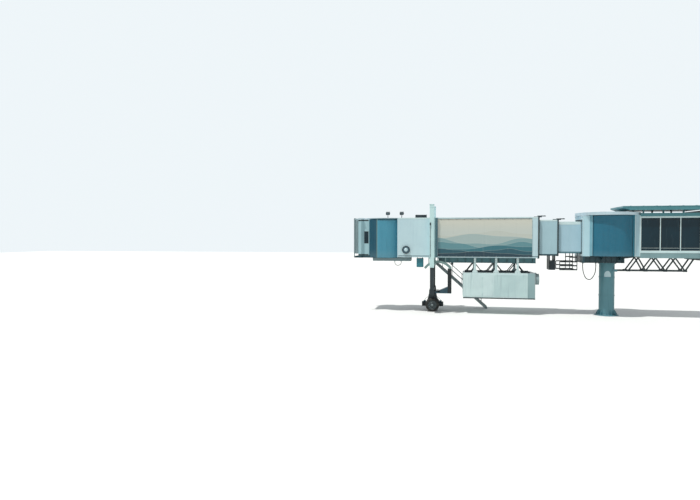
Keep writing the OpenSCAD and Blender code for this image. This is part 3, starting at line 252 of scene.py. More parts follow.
def slat_paint(name, colour, dark, head_track_and_shade=7.54):
    """Glossy slats, dusty at the foot, with a dark band at the head: the head track, and on the
    cab's slats painted shade under the roof.
    """
    s = Shader(name, colour, rough=0.38, coat=0.15)
    s.tint(dark, s.noise(2.2, 3, (1, 1, 0.02), 0.3, 0.8), 0.3)
    s.tint(dark, s.noise(16, 3, DRIPS, 0.5, 0.8), 0.35)
    height = s.axes()[2]
    s.tint("#9fb4b6", s.ramp(height, 5.1, 4.5), 0.12)
    # Dark band at the head: the head track, and on the cab's slats, from 7.3 m up, painted shade
    # under the roof
    s.tint("#16404c", s.ramp(height, head_track_and_shade, head_track_and_shade + 0.02), 0.75)
    return s.roughen(s.noise(3), 0.32, 0.5).grain(140, 2, 0.0004, 0.3).done()


def cable_sheath():
    s = Shader("cable_sheath", "#15191b", rough=0.5)
    s.tint("#4a4f50", s.noise(26, 3, low=0.5, high=0.75), 0.35)
    return s.roughen(s.noise(8), 0.4, 0.65).grain(160, 2, 0.0005).done()


def glass(name, colour, inside):
    s = Shader(name, colour, rough=0.08)
    s.bsdf.inputs["Specular IOR Level"].default_value = 0.3
    s.tint(inside, s.noise(0.7, 2, low=0.3, high=0.7), 0.5)
    s.tint("#6f8b93", s.noise(5, 3, (1, 1, 0.15), 0.55, 0.85), 0.18)
    return s.roughen(s.noise(2.5), 0.05, 0.16).done()


def rubbery(name, colour, dust, scale=9.0):
    s = Shader(name, colour, rough=0.75)
    s.tint(dust, s.noise(scale, 5, low=0.42, high=0.7), 0.4)
    return s.roughen(s.noise(scale * 2), 0.62, 0.88).grain(90, 3, 0.0008).done()


def bare_steel(name, colour, dark, rough=0.42):
    s = Shader(name, colour, rough=rough, metal=0.6)
    s.tint(dark, s.noise(7, 4, low=0.4, high=0.7), 0.5)
    return s.roughen(s.noise(16, 3, (1, 1, 0.1)), rough - 0.1, rough + 0.2).done()


def grating(name, colour, dark):
    """Open bar grating seen from above, with painted shade in its cells and brown dust over it."""
    s = Shader(name, colour, rough=0.6, metal=0.5)
    x, y, _ = s.axes()
    bars, ties = s.ramp(s.zigzag(x, 25.0), 0.12, 0.2), s.ramp(s.zigzag(y, 10.0), 0.06, 0.1)
    holes = s.times(s.times(bars, ties), s.upward())
    # The cells are painted near-black: painted shade seen through the openings
    s.tint(dark, holes, 0.8)
    s.tint("#6b5a48", s.noise(5, 4, low=0.55, high=0.75), 0.25)
    return s.roughen(s.noise(8), 0.45, 0.7).bump(s.math("SUBTRACT", 1.0, holes), 0.004, 0.7).done()


def board_print(name):
    """A landscape of layered waves, pale at the top and deep teal at the foot."""
    s = Shader(name, "#d5d6c9", rough=0.34, coat=0.25)
    x, _, z = s.axes()
    s.tint("#c2cfcc", s.ramp(z, 7.4, 6.2), 0.6)
    # Height, swing, rate along the board, phase and colour of each band
    for level, swing, rate, phase, colour in (
        (6.28, 0.16, 0.9, 0.3, "#c6cdc4"), (5.98, 0.2, 0.62, 1.9, "#a9bdbb"),
        (5.66, 0.24, 0.8, 3.4, "#86a9ac"), (5.4, 0.18, 1.1, 0.8, "#5f9199"),
        (5.16, 0.16, 0.7, 2.6, "#33727e"), (4.94, 0.12, 1.3, 4.4, "#1c5462"),
        (4.74, 0.1, 0.9, 5.3, "#0f3847"),
    ):
        wave, ripple = (s.math("SINE", s.math("ADD", s.times(x, rate * k), phase * p))
                        for k, p in ((1, 1), (2.7, 1.7)))
        edge = s.math("ADD", s.times(wave, swing), s.times(ripple, swing * 0.3))
        over = s.math("SUBTRACT", s.math("ADD", edge, level), z)
        s.tint(colour, s.ramp(over, 0.0, 0.012))
        line = s.times(s.ramp(over, -0.016, -0.004), s.ramp(over, 0.012, 0.0))
        s.tint("#dfe3d8", line, 0.35)
    s.tint("#eef0ea", s.noise(9, 3, DRIPS, 0.6, 0.85), 0.12)
    seam = s.math("PINGPONG", s.math("SUBTRACT", x, 5.67), 0.59)
    s.tint("#7e8f90", s.ramp(seam, 0.006, 0.001), 0.35)
    return s.roughen(s.noise(2), 0.28, 0.45).done()


# Zones of other colours on single nodes


def under_floor(s):
    """The underframe's braces are nearly black below its pale beams."""
    s.tint_from("#1d2b30", 2, 3.975, 3.955)


def grey_plenum(s):
    s.tint_from("#9fb0b3", 0, 5.95, 5.94)


def bow_edge(s):
    s.tint_from("#1e2224", 0, 19.448, 19.452)


def arch_colour(s):
    s.tint_from("#7d9a98", 0, 12.04, 12.06).tint_from("#7d9a98", 2, 3.48, 3.5)


def bracket_strip(s):
    x = s.axes()[0]
    strip = s.times(s.ramp(x, 12.76, 12.764), s.ramp(x, 12.944, 12.94))
    s.tint("#5b7f88", s.times(strip, s.ramp(s.axes()[2], 7.6, 7.58)))


def walked(s):
    """Grey ribbed rubber on the walking side, paint elsewhere."""
    top = s.upward()
    s.tint("#5a6569", top)
    s.tint("#3d474b", s.times(top, s.ramp(s.zigzag(s.axes()[1], 40.0), 0.22, 0.1)))
    s.tint("#7b8384", s.times(top, s.noise(1.1, 4, low=0.45, high=0.75)), 0.5)


# Mesh helpers


def spread(a, b, count):
    """Evenly spread values from a to b, both ends included."""
    return [a + (b - a) * k / (count - 1) for k in range(count)]


def angles(sides):
    return [2 * pi * k / sides for k in range(sides)]


def around(centre, r, azimuth, z=0):
    t = radians(azimuth)
    return Vector((centre[0] + r * cos(t), centre[1] + r * sin(t), z))


class Shape:
    """A mesh under construction. Its faces get the material last picked with use()."""

    def __init__(self, material):
        self.bm = bmesh.new()
        self.materials = []
        self.use(material)

    def use(self, material):
        if material not in self.materials:
            self.materials.append(material)
        self.slot = self.materials.index(material)
        return self

    def skin(self, rows, close_row=False, close_all=False, smooth=True, caps=False):
        """Quads between rows of points, each row of the same length."""
        grid = [[self.bm.verts.new(p) for p in row] for row in rows]
        n, m = len(grid), len(grid[0])
        for i in range(n if close_all else n - 1):
            a, b = grid[i], grid[(i + 1) % n]
            for j in range(m if close_row else m - 1):
                k = (j + 1) % m
                made = self.bm.faces.new((a[j], a[k], b[k], b[j]))
                made.material_index = self.slot
                made.smooth = smooth
        if caps:
            for row in (grid[0][::-1], grid[-1]):
                self.bm.faces.new(row).material_index = self.slot
        return self

    def solid(self, rows):
        """A flat-sided solid whose sections are the rows."""
        return self.skin(rows, close_row=True, smooth=False, caps=True)

    def plate(self, places, section):
        """A curved plate: section gives the corners of the slice at each place."""
        return self.solid([section(place) for place in places])

    def arc(self, centre, r0, r1, a0, a1, z0, z1):
        """An upright plate round a centre, between two radii, azimuths and heights."""
        def section(a):
            p, q = around(centre, r0, a), around(centre, r1, a)
            return [(p.x, p.y, z0), (q.x, q.y, z0), (q.x, q.y, z1), (p.x, p.y, z1)]
        return self.plate(spread(a0, a1, 5), section)

    def box(self, lo, hi, bevel=0.0):
        """A block between two corners, with chamfered edges where bevel is set."""
        middle = [(a + b) / 2 for a, b in zip(lo, hi)]
        size = [abs(b - a) for a, b in zip(lo, hi)]
        place = Matrix.Translation(middle) @ Matrix.Diagonal((*size, 1))
        verts = bmesh.ops.create_cube(self.bm, size=1, matrix=place)["verts"]
        for f in {f for v in verts for f in v.link_faces}:
            f.material_index = self.slot
        if bevel:
            edges = list({e for v in verts for e in v.link_edges})
            bmesh.ops.bevel(self.bm, geom=edges, offset=bevel, segments=1, affect="EDGES",
                            material=self.slot)
        return self

    def rod(self, a, b, r, sides=12, r_end=None, smooth=True):
        """A round bar from a to b, or a cone where r_end is set."""
        a, b = Vector(a), Vector(b)
        turn = (b - a).to_track_quat("Z", "Y")
        rows = [[p + turn @ Vector((q * cos(t), q * sin(t), 0)) for t in angles(sides)]
                for p, q in ((a, r), (b, r if r_end is None else r_end))]
        return self.skin(rows, close_row=True, smooth=smooth, caps=True)

    def lathe(self, centre, axis, profile, sides=48):
        """A turned piece: profile is a list of radius and place along the axis."""
        turn = Vector(axis).to_track_quat("Z", "Y")
        rows = [[Vector(centre) + turn @ Vector((r * cos(t), r * sin(t), h)) for t in angles(sides)]
                for r, h in profile]
        return self.skin(rows, close_row=True)

    def tube(self, points, r, sides=8, caps=True):
        """A round tube along a line of points."""
        points = [Vector(p) for p in points]
        rows = []
        for k, p in enumerate(points):
            d = (points[min(k + 1, len(points) - 1)] - points[max(k - 1, 0)]).normalized()
            side = d.cross(Z)
            side = side.normalized() if side.length > 0.05 else d.cross(Y).normalized()
            over = side.cross(d)
            rows.append([p + (side * cos(t) + over * sin(t)) * r for t in angles(sides)])
        return self.skin(rows, close_row=True, caps=caps)

    def hoop(self, ring, r, sides):
        """A closed ring of round bar."""
        return self.tube(ring + ring[:1], r, sides, caps=False)

    def bolt(self, place, axis, r=0.014, h=0.014):
        """A hexagon head on a washer."""
        axis, place = Vector(axis).normalized(), Vector(place)
        self.rod(place, place + axis * h * 0.25, r * 1.5, 10, smooth=False)
        return self.rod(place + axis * h * 0.2, place + axis * h, r, 6, smooth=False)

    def bolts(self, a, b, pitch, axis, r=0.014, h=0.014):
        for p in in_steps(a, b, pitch):
            self.bolt(p, axis, r, h)
        return self

    def bolt_circle(self, centre, axis, radius, count, r=0.014, h=0.014):
        turn = Vector(axis).to_track_quat("Z", "Y")
        for t in angles(count):
            place = Vector((radius * cos(t), radius * sin(t), 0))
            self.bolt(Vector(centre) + turn @ place, axis, r, h)
        return self

    def rivets(self, a, b, pitch, axis, r=0.008, h=0.005):
        for p in in_steps(a, b, pitch):
            self.rod(p, p + Vector(axis) * h, r, 6, r_end=r * 0.55)
        return self

    def frame(self, y, x0, x1, z0, z1, wide, deep, bevel=0.002):
        """A rectangular frame round an area in the XZ plane, from y to y + deep."""
        for lo_x, hi_x, lo_z, hi_z in (
            (x0 - wide, x0, z0 - wide, z1 + wide), (x1, x1 + wide, z0 - wide, z1 + wide),
            (x0, x1, z0 - wide, z0), (x0, x1, z1, z1 + wide),
        ):
            self.box((lo_x, y, lo_z), (hi_x, y + deep, hi_z), bevel)
        return self

    def door(self, y, out, x0, x1, z0, z1, hinge_left):
        """A raised door leaf with hinges on one edge and two latches on the other."""
        self.box((x0, y, z0), (x1, y + out * 0.014, z1), 0.004)
        hinge, latch = (x1, x0) if hinge_left else (x0, x1)
        inwards = -1 if hinge_left else 1
        pin, flap = (hinge, y + out * 0.02), (hinge + inwards * 0.05, y + out * 0.019)
        for share in (0.14, 0.5, 0.86):
            z = z0 + (z1 - z0) * share
            self.rod((*pin, z - 0.05), (*pin, z + 0.05), 0.012, 10)
            self.box((hinge, y, z - 0.035), (*flap, z + 0.035), 0.002)
        c = latch - inwards * 0.07
        for share in (0.3, 0.7):
            z = z0 + (z1 - z0) * share
            self.box((c - 0.022, y, z - 0.055), (c + 0.022, y + out * 0.024, z + 0.055), 0.004)
            self.box((c - 0.008, y, z - 0.04), (c + 0.008, y + out * 0.042, z + 0.01), 0.003)
        return self

    def mirror(self):
        """Copies all that is there to the other side of the XZ plane."""
        parts = self.bm.verts[:] + self.bm.edges[:] + self.bm.faces[:]
        made = bmesh.ops.duplicate(self.bm, geom=parts)["geom"]
        verts = [part for part in made if isinstance(part, bmesh.types.BMVert)]
        bmesh.ops.scale(self.bm, vec=(1, -1, 1), verts=verts)
        return self

    def object(self, name, body=None, slot=None, replaces=()):
        bmesh.ops.recalc_face_normals(self.bm, faces=self.bm.faces)
        mesh = bpy.data.meshes.new(name)
        self.bm.to_mesh(mesh)
        self.bm.free()
        for m in self.materials:
            mesh.materials.append(m)
        made = add_object(name, mesh)
        if body:
            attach(made, body)
        if replaces:
            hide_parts(*replaces)
        return made


def in_steps(a, b, pitch):
    """Points from a to b, about a pitch apart."""
    a, b = Vector(a), Vector(b)
    return spread(a, b, max(2, round((b - a).length / pitch) + 1))


def smooth_by_angle(made, limit=38):
    """Marks the edges steeper than the limit as sharp, so that shading breaks there."""
    bm = bmesh.new()
    bm.from_mesh(made.data)
    bmesh.ops.remove_doubles(bm, verts=bm.verts, dist=1e-5)
    bmesh.ops.recalc_face_normals(bm, faces=bm.faces)
    for e in bm.edges:
        e.smooth = not (len(e.link_faces) == 2 and e.calc_face_angle(0) > radians(limit))
    for f in bm.faces:
        f.smooth = True
    bm.to_mesh(made.data)
    bm.free()


def finish_node(name, material, edge, bevel):
    """Gives a node its material, and chamfers that are worn in another one where edge is set."""
    node = nodes[name]
    slots = node.data.materials
    if slots:
        slots[0] = material
    else:
        slots.append(material)
    if edge:
        slots.append(edge)
    made = node.modifiers.new("edges", "BEVEL")
    made.width, made.segments = bevel, 1
    made.limit_method, made.angle_limit = "ANGLE", radians(40)
    made.material = 1 if edge else -1
    made.harden_normals = False


# Cables that hang free

ROTUNDA_CABLE = [
    (1.05, 1.09, 4.0), (1.05, 1.09, 3.7), (1.11, 1.09, 3.25), (1.32, 1.09, 2.88),
    (1.52, 1.09, 2.79), (1.74, 1.09, 2.9), (1.91, 1.09, 3.28), (1.97, 1.09, 3.7), (1.97, 1.09, 4.0),
]
CAB_CABLE = [
    (15.7, 0.68, 4.005), (15.7, 0.68, 3.9), (15.77, 0.68, 3.76), (15.96, 0.68, 3.69),
    (16.14, 0.68, 3.76), (16.21, 0.68, 3.9), (16.21, 0.68, 4.005),
]


def curve_through(points, steps):
    """A smooth line through the points, with the given steps between each pair."""
    out = []
    n = len(points)
    for k in range(n - 1):
        a, b, c, d = (Vector(points[i]) for i in (max(k - 1, 0), k, k + 1, min(k + 2, n - 1)))
        for j in range(steps):
            t = j / steps
            out.append(
                b + 0.5 * t * (c - a + t * (2 * a - 5 * b + 4 * c - d + t * (3 * (b - c) + d - a)))
            )
    return out + [Vector(points[-1])]


def make_cable(name, body, points, diameter, stands_for):
    path = curve_through(points, 6)
    shape = Shape(SHEATH).tube(path, diameter / 2, 16, caps=False)
    made = shape.object(name, body, "cable_sheath", (stands_for,))


# Slatted curtains


def smooth_inverse(w):
    """The place from 0 to 1 at which a smoothstep has the value w."""
    return 0.5 - sin(asin(max(-1.0, min(1.0, 1 - 2 * w))) / 3)


def curtain_weight(turn, span, soft):
    """How far a curtain point follows the moving body, turn degrees from the fixed edge."""
    slope = 1 / (span - soft)
    if turn < soft:
        return slope * turn * turn / (2 * soft)
    if turn > span - soft:
        return 1 - slope * (span - turn) ** 2 / (2 * soft)
    return slope * (turn - soft / 2)


def make_curtain(name, centre, r, z0, z1, fixed, moving, soft, stands_for, paints):
    """Strips of upright interlocking slats on an arc, from the fixed azimuth to the moving one.

    paints gives the material of each slat, by the numbers of its strip and of itself.
    """
    strips, slats = 12, 6
    span = abs(moving - fixed)
    sense = 1 if moving > fixed else -1
    step = span / strips

    def section(outline):
        points = [around(centre, r + d, a) for a, d in outline]
        return [[(p.x, p.y, z) for p in points] for z in (z0, z1)]

    for k in range(strips):
        turns = [k * step, (k + 1) * step]
        ends = [around(centre, r, fixed + sense * t) for t in turns]
        low, high = (smooth_inverse(curtain_weight(t, span, soft)) for t in turns)
        shape = Shape(paints(k, 0))
        for j in range(slats):
            shape.use(paints(k, j))
            b0, a0, a1, b1 = (fixed + sense * (turns[0] + step * (j + d) / slats)
                              for d in (0, 0.04, 0.96, 1))
            shape.solid(section([
                (a0, 0.002), (a0 * 0.9 + a1 * 0.1, 0.013), ((a0 + a1) / 2, 0.017),
                (a0 * 0.1 + a1 * 0.9, 0.013), (a1, 0.002), (a1, 0.0005), (a0, 0.0005),
            ]))
            web = section([(b0, 0.004), (b1, 0.004), (b1, 0.001), (b0, 0.001)])
            shape.skin(web, close_row=True, smooth=False)
        made = shape.object(f"{name}_{k:02d}", slot=name.rpartition("_")[0], replaces=(stands_for,))
        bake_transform(made)


def rotunda_paint(_strip, _slat):
    return TEAL_SLATS


def cab_paint(strip, slat):
    """Teal strips, then four dark ones, with two pale slats where they meet."""
    if strip == 8 and slat < 2:
        return GUIDE
    return DARK_SLATS if strip >= 8 else CAB_SLATS


# Canopy cloth, bumper and floor


def make_bellows():
    """Pleated canopy cloth in an upside-down U, on folded frames between cab and bow."""
    x0, x1 = 19.1, 19.397
    half, foot, top, corner = 1.262, 4.64, 7.478, 0.16
    deep, pleats, across, fold_steps = 0.052, 5, 40, 8
    path = [(half, z) for z in spread(foot, top - corner, across + 1)]
    path += [(half - corner + corner * cos(t), top - corner + corner * sin(t))
             for t in spread(0.15, pi / 2, 7)]
    path += [(y, top) for y in spread(half - corner - 0.08, 0, 14)]
    path += [(-y, z) for y, z in reversed(path[:-1])]
    steps = pleats * fold_steps
    rows = []
    for k, x in enumerate(spread(x0, x1, steps + 1)):
        fold = abs(((k / fold_steps) % 1) * 2 - 1)
        row = []
        for j, (y, z) in enumerate(path):
            slack = 0.006 * sin(j * 0.9 + k * 0.35) * sin(pi * k / steps)
            dip = deep * (1 - fold ** 0.8) + slack
            # The cloth folds along the path's normal, which turns in the corners
            on_top = z > top - corner * 1.01
            ny = 0
            if abs(y) > half - 0.001:
                ny = y / half
            elif on_top and abs(y) > half - corner:
                ny = (abs(y) - half + corner) / corner * (1 if y > 0 else -1)
            nz = sqrt(max(0.0, 1 - ny * ny)) if on_top else 0
            row.append((x, y - ny * dip, z - nz * dip))
        rows.append(row)
    shape = Shape(rubbery("canopy_cloth", "#a3b9be", "#7f959a", 12)).skin(rows)
    made = shape.object("canopy_cloth", slot="bellows", replaces=("canopy_bellows",))
    length = sum(hypot(b[0] - a[0], b[1] - a[1]) for a, b in zip(path, path[1:]))
    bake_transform(made)


def make_bumper():
    """A D-section rubber fender in four lengths on a steel strip, with clamp bolts."""
    x0, half, low, high = 19.1, 1.11, 4.335, 4.496
    face, mid, parts = x0 + 0.016, (low + high) / 2, 4
    shape = Shape(STEEL).box((x0 + 0.001, -half, low), (face, half, high), 0.003)
    for y in spread(-half + 0.05, half - 0.05, 13):
        for z in (low + 0.012, high - 0.012):
            shape.bolt((face, y, z), X, 0.008, 0.008)
    shape.use(RUBBER)
    piece = 2 * half / parts
    for k in range(parts):
        y0 = -half + k * piece + 0.004
        y1 = y0 + piece - 0.008
        rows = []
        for y in spread(y0, y1, 17):
            swell = 1 - 0.55 * max(0.0, 1 - min(y - y0, y1 - y) / 0.035) ** 2
            rows.append([(face + 0.118 * swell * max(0.0, cos(a)) ** 0.7, y,
                          mid + 0.066 * swell * sin(a)) for a in spread(-pi / 2, pi / 2, 13)])
        shape.skin(rows, close_row=True, caps=True)
    shape.object("cab_fender", "cab", "rubber", ("cab_bumper",))


def make_floor():
    s = Shader("apron", "#cfd0cb", rough=0.85)
    s.tint("#c3c6c2", s.noise(0.12, 4, low=0.35, high=0.7), 0.35)
    s.tint("#eef0ee", s.node("LightPath").outputs["Is Camera Ray"])
    rows = [[(x, y, -0.002) for x in (-160, 180)] for y in (-160, 160)]
    Shape(s.done()).skin(rows, smooth=False).object("apron")


# Column, rotunda and corridor


def make_column_fittings():
    shape = Shape(STEEL)
    for t in angles(12):
        x, y = 0.74 * cos(t), 0.74 * sin(t)
        shape.rod((x, y, 0.058), (x, y, 0.066), 0.042, 20)
        shape.rod((x, y, 0.064), (x, y, 0.098), 0.033, 6, smooth=False)
        shape.rod((x, y, 0.09), (x, y, 0.135), 0.0185, 12)
    shape.use(COLUMN).lathe((0, 0, 0.06), Z, [(0.57, 0.0), (0.556, 0.004), (0.548, 0.018)], 96)
    for z in (1.53, 2.93):
        for t in angles(24):
            out = Vector((cos(t), sin(t), 0))
            shape.bolt(out * 0.573 + Z * z, out, 0.012, 0.012)
    shape.bolt_circle((0, 0, 3.955), -Z, 0.61, 24, 0.016, 0.02)
    # Arched cover plate low on the near side

    def cover(t):
        a = radians(82) + t
        top = 3.02 + 0.4 * sqrt(max(0.0, 1 - (t / 0.44) ** 2))
        return [(r * cos(a), r * sin(a), z)
                for r, z in ((0.551, 2.965), (0.566, 2.965), (0.566, top), (0.551, top))]

    shape.use(PANEL).plate(spread(-0.42, 0.42, 15), cover)
    # Conduits with clips up the rear of the column
    shape.use(DARK)
    for a in (200, 206, 212):
        shape.rod(around(ROTUNDA_AXIS, 0.585, a, 0.1), around(ROTUNDA_AXIS, 0.585, a, 3.9), 0.02)
    for z in (0.5, 1.1, 1.9, 2.5, 3.3, 3.8):
        for a in (198, 214):
            shape.bolt(around(ROTUNDA_AXIS, 0.55, a, z), around(ROTUNDA_AXIS, 1, a), 0.012, 0.05)
        shape.arc(ROTUNDA_AXIS, 0.6, 0.612, 197, 215, z - 0.02, z + 0.02)
    shape.object("column_fittings", "root", "column_paint")


def make_jambs():
    """Upright guide channels at both ends of the rotunda curtains, one radius outside the other."""
    z0, z1 = 4.575, 7.59
    for name, body, r, a0, a1, paint in (
        ("portal_jambs", "root", 2.074, 137.8, 131.5, TEAL_JAMB),
        # The vestibule's jambs take a darker blue-grey, a painted shade
        ("vestibule_jambs", "swing", 2.094, 42.2, 48.5, SHADED_GREY_JAMB),
    ):
        shape = Shape(paint).arc(ROTUNDA_AXIS, r, r + 0.013, a0, a1, z0, z1)
        middle = (a0 + a1) / 2
        for z in spread(4.7, 7.45, 12):
            p = around(ROTUNDA_AXIS, r + 0.013, middle, z)
            shape.rod(p, p + around(ROTUNDA_AXIS, 0.004, middle), 0.008, 6)
        seal = 0.7 if a1 > a0 else -0.7
        shape.use(RUBBER).arc(ROTUNDA_AXIS, r, r + 0.008, a1, a1 + seal, z0, z1)
        shape.mirror().object(name, body, "panel_paint")


def make_cab_posts():
    """Posts that close the slits between the cab's walls and its curtains, with rubber seals."""
    lo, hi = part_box("cab_walls")
    z0, z1, outer = lo.z - 0.004, hi.z + 0.004, 1.572
    # The posts take the vestibule jambs' darker blue-grey, a painted shade
    shape = Shape(SHADED_GREY_JAMB).arc(CAB_AXIS, 1.527, outer, 41.0, 43.8, z0, z1)
    shape.use(RUBBER).arc(CAB_AXIS, 1.523, 1.529, 41.4, 43.4, z0, z1).use(STEEL)
    for z in spread(lo.z + 0.15, hi.z - 0.15, 10):
        p = around(CAB_AXIS, outer, 43.2, z)
        shape.rod(p, p + around((0, 0), 0.003, 43.2), 0.007, 6)
    shape.mirror().object("cab_posts", "cab", "panel_paint")


def make_rotunda_roof_fittings():
    shape = Shape(ROOF)
    for k in range(20):
        a = 18 * k + 9
        side = around((0, 0), 0.012, a + 90)

        def section(end):
            p = around(ROTUNDA_AXIS, end[0], a, end[1])
            return [p - side - Z * 0.012, p + side - Z * 0.012,
                    p + side * 0.5 + Z * 0.022, p - side * 0.5 + Z * 0.022]

        shape.plate(((0.34, 7.885), (2.2, 7.808)), section)
    shape.lathe((0, 0, 7.885), Z, [(0.36, -0.004), (0.36, 0.02), (0.34, 0.026), (0.02, 0.03)])
    shape.bolt_circle((0, 0, 7.908), Z, 0.33, 16, 0.01, 0.01)
    shape.object("roof_ribs", "root", "roof_paint")


def make_corridor_fittings():
    half, x0, pitch = CORRIDOR_HALF, -5.975, 1.35
    shape = Shape(RUBBER)
    for k in range(3):
        a, b = x0 + pitch * k, x0 + pitch * (k + 1)
        shape.use(RUBBER).frame(1.386, a + 0.075, b - 0.075, 5.215, 7.235, 0.022, 0.012, 0.003)
        for z in (5.14, 7.33):
            shape.use(STEEL).rivets((a + 0.12, half, z), (b - 0.12, half, z), 0.3, Y)
    shape.use(WHITE).box((-5.97, half, 5.165), (-1.93, 1.43, 5.18), 0.003)
    shape.box((-5.97, half, 4.84), (-1.93, 1.425, 4.856), 0.003)
    shape.use(CANOPY).box((-5.96, 1.7, 8.2), (-0.68, 1.715, 8.24), 0.003)
    for x in spread(-5.7, -1.0, 8):
        shape.box((x - 0.012, 1.7, 7.96), (x + 0.012, 1.706, 8.24), 0.002)
    shape.use(TRUSS)
    for x in (-1.4, -2.6, -3.95, -5.3):
        for y in (0.38, 0.498):
            shape.box((x - 0.13, y, 3.39), (x + 0.13, y + 0.012, 3.53), 0.002)
        for d in (-0.09, 0.0, 0.09):
            shape.bolt((x + d, 0.51, 3.46), Y, 0.012, 0.012)
    shape.use(STEEL).bolts((-5.975, 1.5, 4.5), (-5.975, 1.5, 7.8), 0.3, X, 0.018, 0.022)
    shape.mirror().use(CANOPY)
    for x in spread(-5.6, -1.2, 6):
        shape.box((x - 0.01, -1.68, 8.25), (x + 0.01, 1.68, 8.275), 0.003)
    shape.object("corridor_fittings", "root", "white_paint")


def make_portal_fittings():
    half, lap = CORRIDOR_HALF, 1.412
    shape = Shape(WHITE)
    for x0, x1, x in ((-1.925, -1.88, -1.9), (-1.6, -1.56, -1.58)):
        shape.use(WHITE).box((x0, half, 4.56), (x1, lap, 7.59), 0.003)
        shape.use(STEEL).rivets((x, lap, 4.7), (x, lap, 7.5), 0.25, Y)
    shape.mirror().object("portal_fittings", "root", "panel_paint")


def make_turntable_fittings():
    shape = Shape(GIRDER)
    for x in spread(-0.8, 1.85, 8):
        shape.box((x - 0.008, 1.06, 4.09), (x + 0.008, 1.172, 4.49), 0.002)
    shape.use(STEEL).bolts((-0.85, 1.18, 4.065), (1.9, 1.18, 4.065), 0.2, Y, 0.012, 0.012)
    shape.use(PANEL).box((2.0, 1.4, 4.56), (2.05, 1.412, 7.4), 0.003)
    shape.rivets((2.025, 1.412, 4.7), (2.025, 1.412, 7.3), 0.25, Y)
    shape.use(RUBBER).box((2.046, 1.068, 4.73), (2.075, 1.13, 7.2), 0.006)
    shape.mirror().box((2.046, -1.13, 7.235), (2.075, 1.13, 7.29), 0.006)
    shape.object("turntable_fittings", "swing", "girder_paint")


# Tunnels


def tunnel_trim(name, body, x0, x1, size, rail, top, skin, foot, seam_ends, sides, pads=(0, 0)):
    """Base rails, top rails and rivets along both sides of a tunnel, 8 mm proud of its skin.

    The seams' rivets leave out the height of the pads that the next tunnel slides on.
    """
    half, z0, z1 = size
    out = half + 0.008
    shape = Shape(foot)
    for paint, low, high, z in ((foot, z0 + 0.004, z0 + rail, z0 + rail * 0.5),
                                (WHITE, z1 - top, z1 - 0.012, z1 - top * 0.5)):
        shape.use(paint).box((x0, half, low), (x1, out, high), 0.002)
        shape.rivets((x0 + 0.06, out, z), (x1 - 0.06, out, z), 0.25, Y, 0.008, 0.004)
    shape.mirror().use(skin)
    start, end = seam_ends
    seams = spread(start, end, round((end - start) / SEAM_PITCH) + 1)[1:-1]
    runs = (z0 + rail + 0.06, pads[0]), (max(pads[1], z0 + rail), z1 - top - 0.06)
    for low, high in (run for run in runs if run[1] > run[0]):
        for side in sides:
            for x in (seam + d for seam in seams for d in (-0.035, 0.035)):
                lower, upper = (Vector((x, side * half, z)) for z in (low, high))
                shape.rivets(lower, upper, 0.22, Y * side, 0.006, 0.004)
    shape.object(name, body, "panel_paint")


def end_frame_fittings(name, body, x, size, smaller):
    """Bolts round an end frame, its weather strip and the bolted roof arms."""
    half, base, top = size
    inner, inner_base, _ = smaller
    face, low, high = x - 0.1, base + 0.1, top - 0.1
    shape = Shape(FRAME)
    shape.bolts((face, half - 0.02, low), (face, half - 0.02, high), 0.28, -X)
    shape.bolts((x - 0.05, half + 0.03, low), (x - 0.05, half + 0.03, high), 0.28, Y)
    for d in (-0.5, -0.3):
        shape.bolt((x + d, inner - 0.26, top + 0.1), Z, 0.016, 0.02)
    shape.box((x - 0.6, inner - 0.32, top + 0.032), (x - 0.594, inner - 0.2, top + 0.098), 0.002)
    shape.use(RUBBER).box((face - 0.012, inner + 0.015, inner_base + 0.8),
                          (face, inner + 0.065, top - 0.17), 0.002)
    shape.mirror().use(FRAME)
    shape.bolts((face, -half + 0.15, top - 0.01), (face, half - 0.15, top - 0.01), 0.3, -X)
    shape.object(name, body, "frame_paint")


def make_tunnels():
    both = (1, -1)
    tunnel_trim("tunnel_a_trim", "tunnel_a", 2.15, 12.55, TUNNEL_A, 0.09, 0.24, PANEL_A, BRACKET,
                (1.75, 12.6), both, (5.12, 5.48))
    tunnel_trim("tunnel_b_trim", "tunnel_b", 3.86, 13.85, TUNNEL_B, 0.06, 0.12, PANEL_B, GIRDER,
                (3.83, 13.9), both, (4.93, 5.29))
    # The board covers the seams of the outer tunnel's near side
    tunnel_trim("tunnel_c_trim", "tunnel_c", 5.26, 15.84, TUNNEL_C, 0.085, 0.11, PANEL, PANEL,
                (5.24, 15.8556), (-1,))
    end_frame_fittings("tunnel_b_frame_bolts", "tunnel_b", 3.83, TUNNEL_B, TUNNEL_A)
    end_frame_fittings("tunnel_c_frame_bolts", "tunnel_c", 5.24, TUNNEL_C, TUNNEL_B)


def make_rack_cables():
    """Cables laid along the rack under the inner tunnel, strapped to each rail."""
    rail = 0.8
    shape = Shape(SHEATH)
    for z, x1 in ((3.5, 3.57), (3.8, 3.57), (4.1, 3.57), (4.45, 2.86)):
        shape.use(SHEATH)
        for j, r in enumerate((0.022, 0.018, 0.02)):
            y = rail - (0.03 + 0.045 * j)
            points = [(x, y, z + r + 0.003 * sin(9 * x + j)) for x in spread(2.32, x1, 12)]
            shape.tube(points, r, 8)
        shape.use(STEEL)
        for x in spread(2.5, x1 - 0.15, 4):
            shape.box((x - 0.012, rail - 0.15, z + 0.001), (x + 0.012, rail, z + 0.05), 0.002)
    shape.mirror().object("rack_cables", "tunnel_a", "cable_sheath")


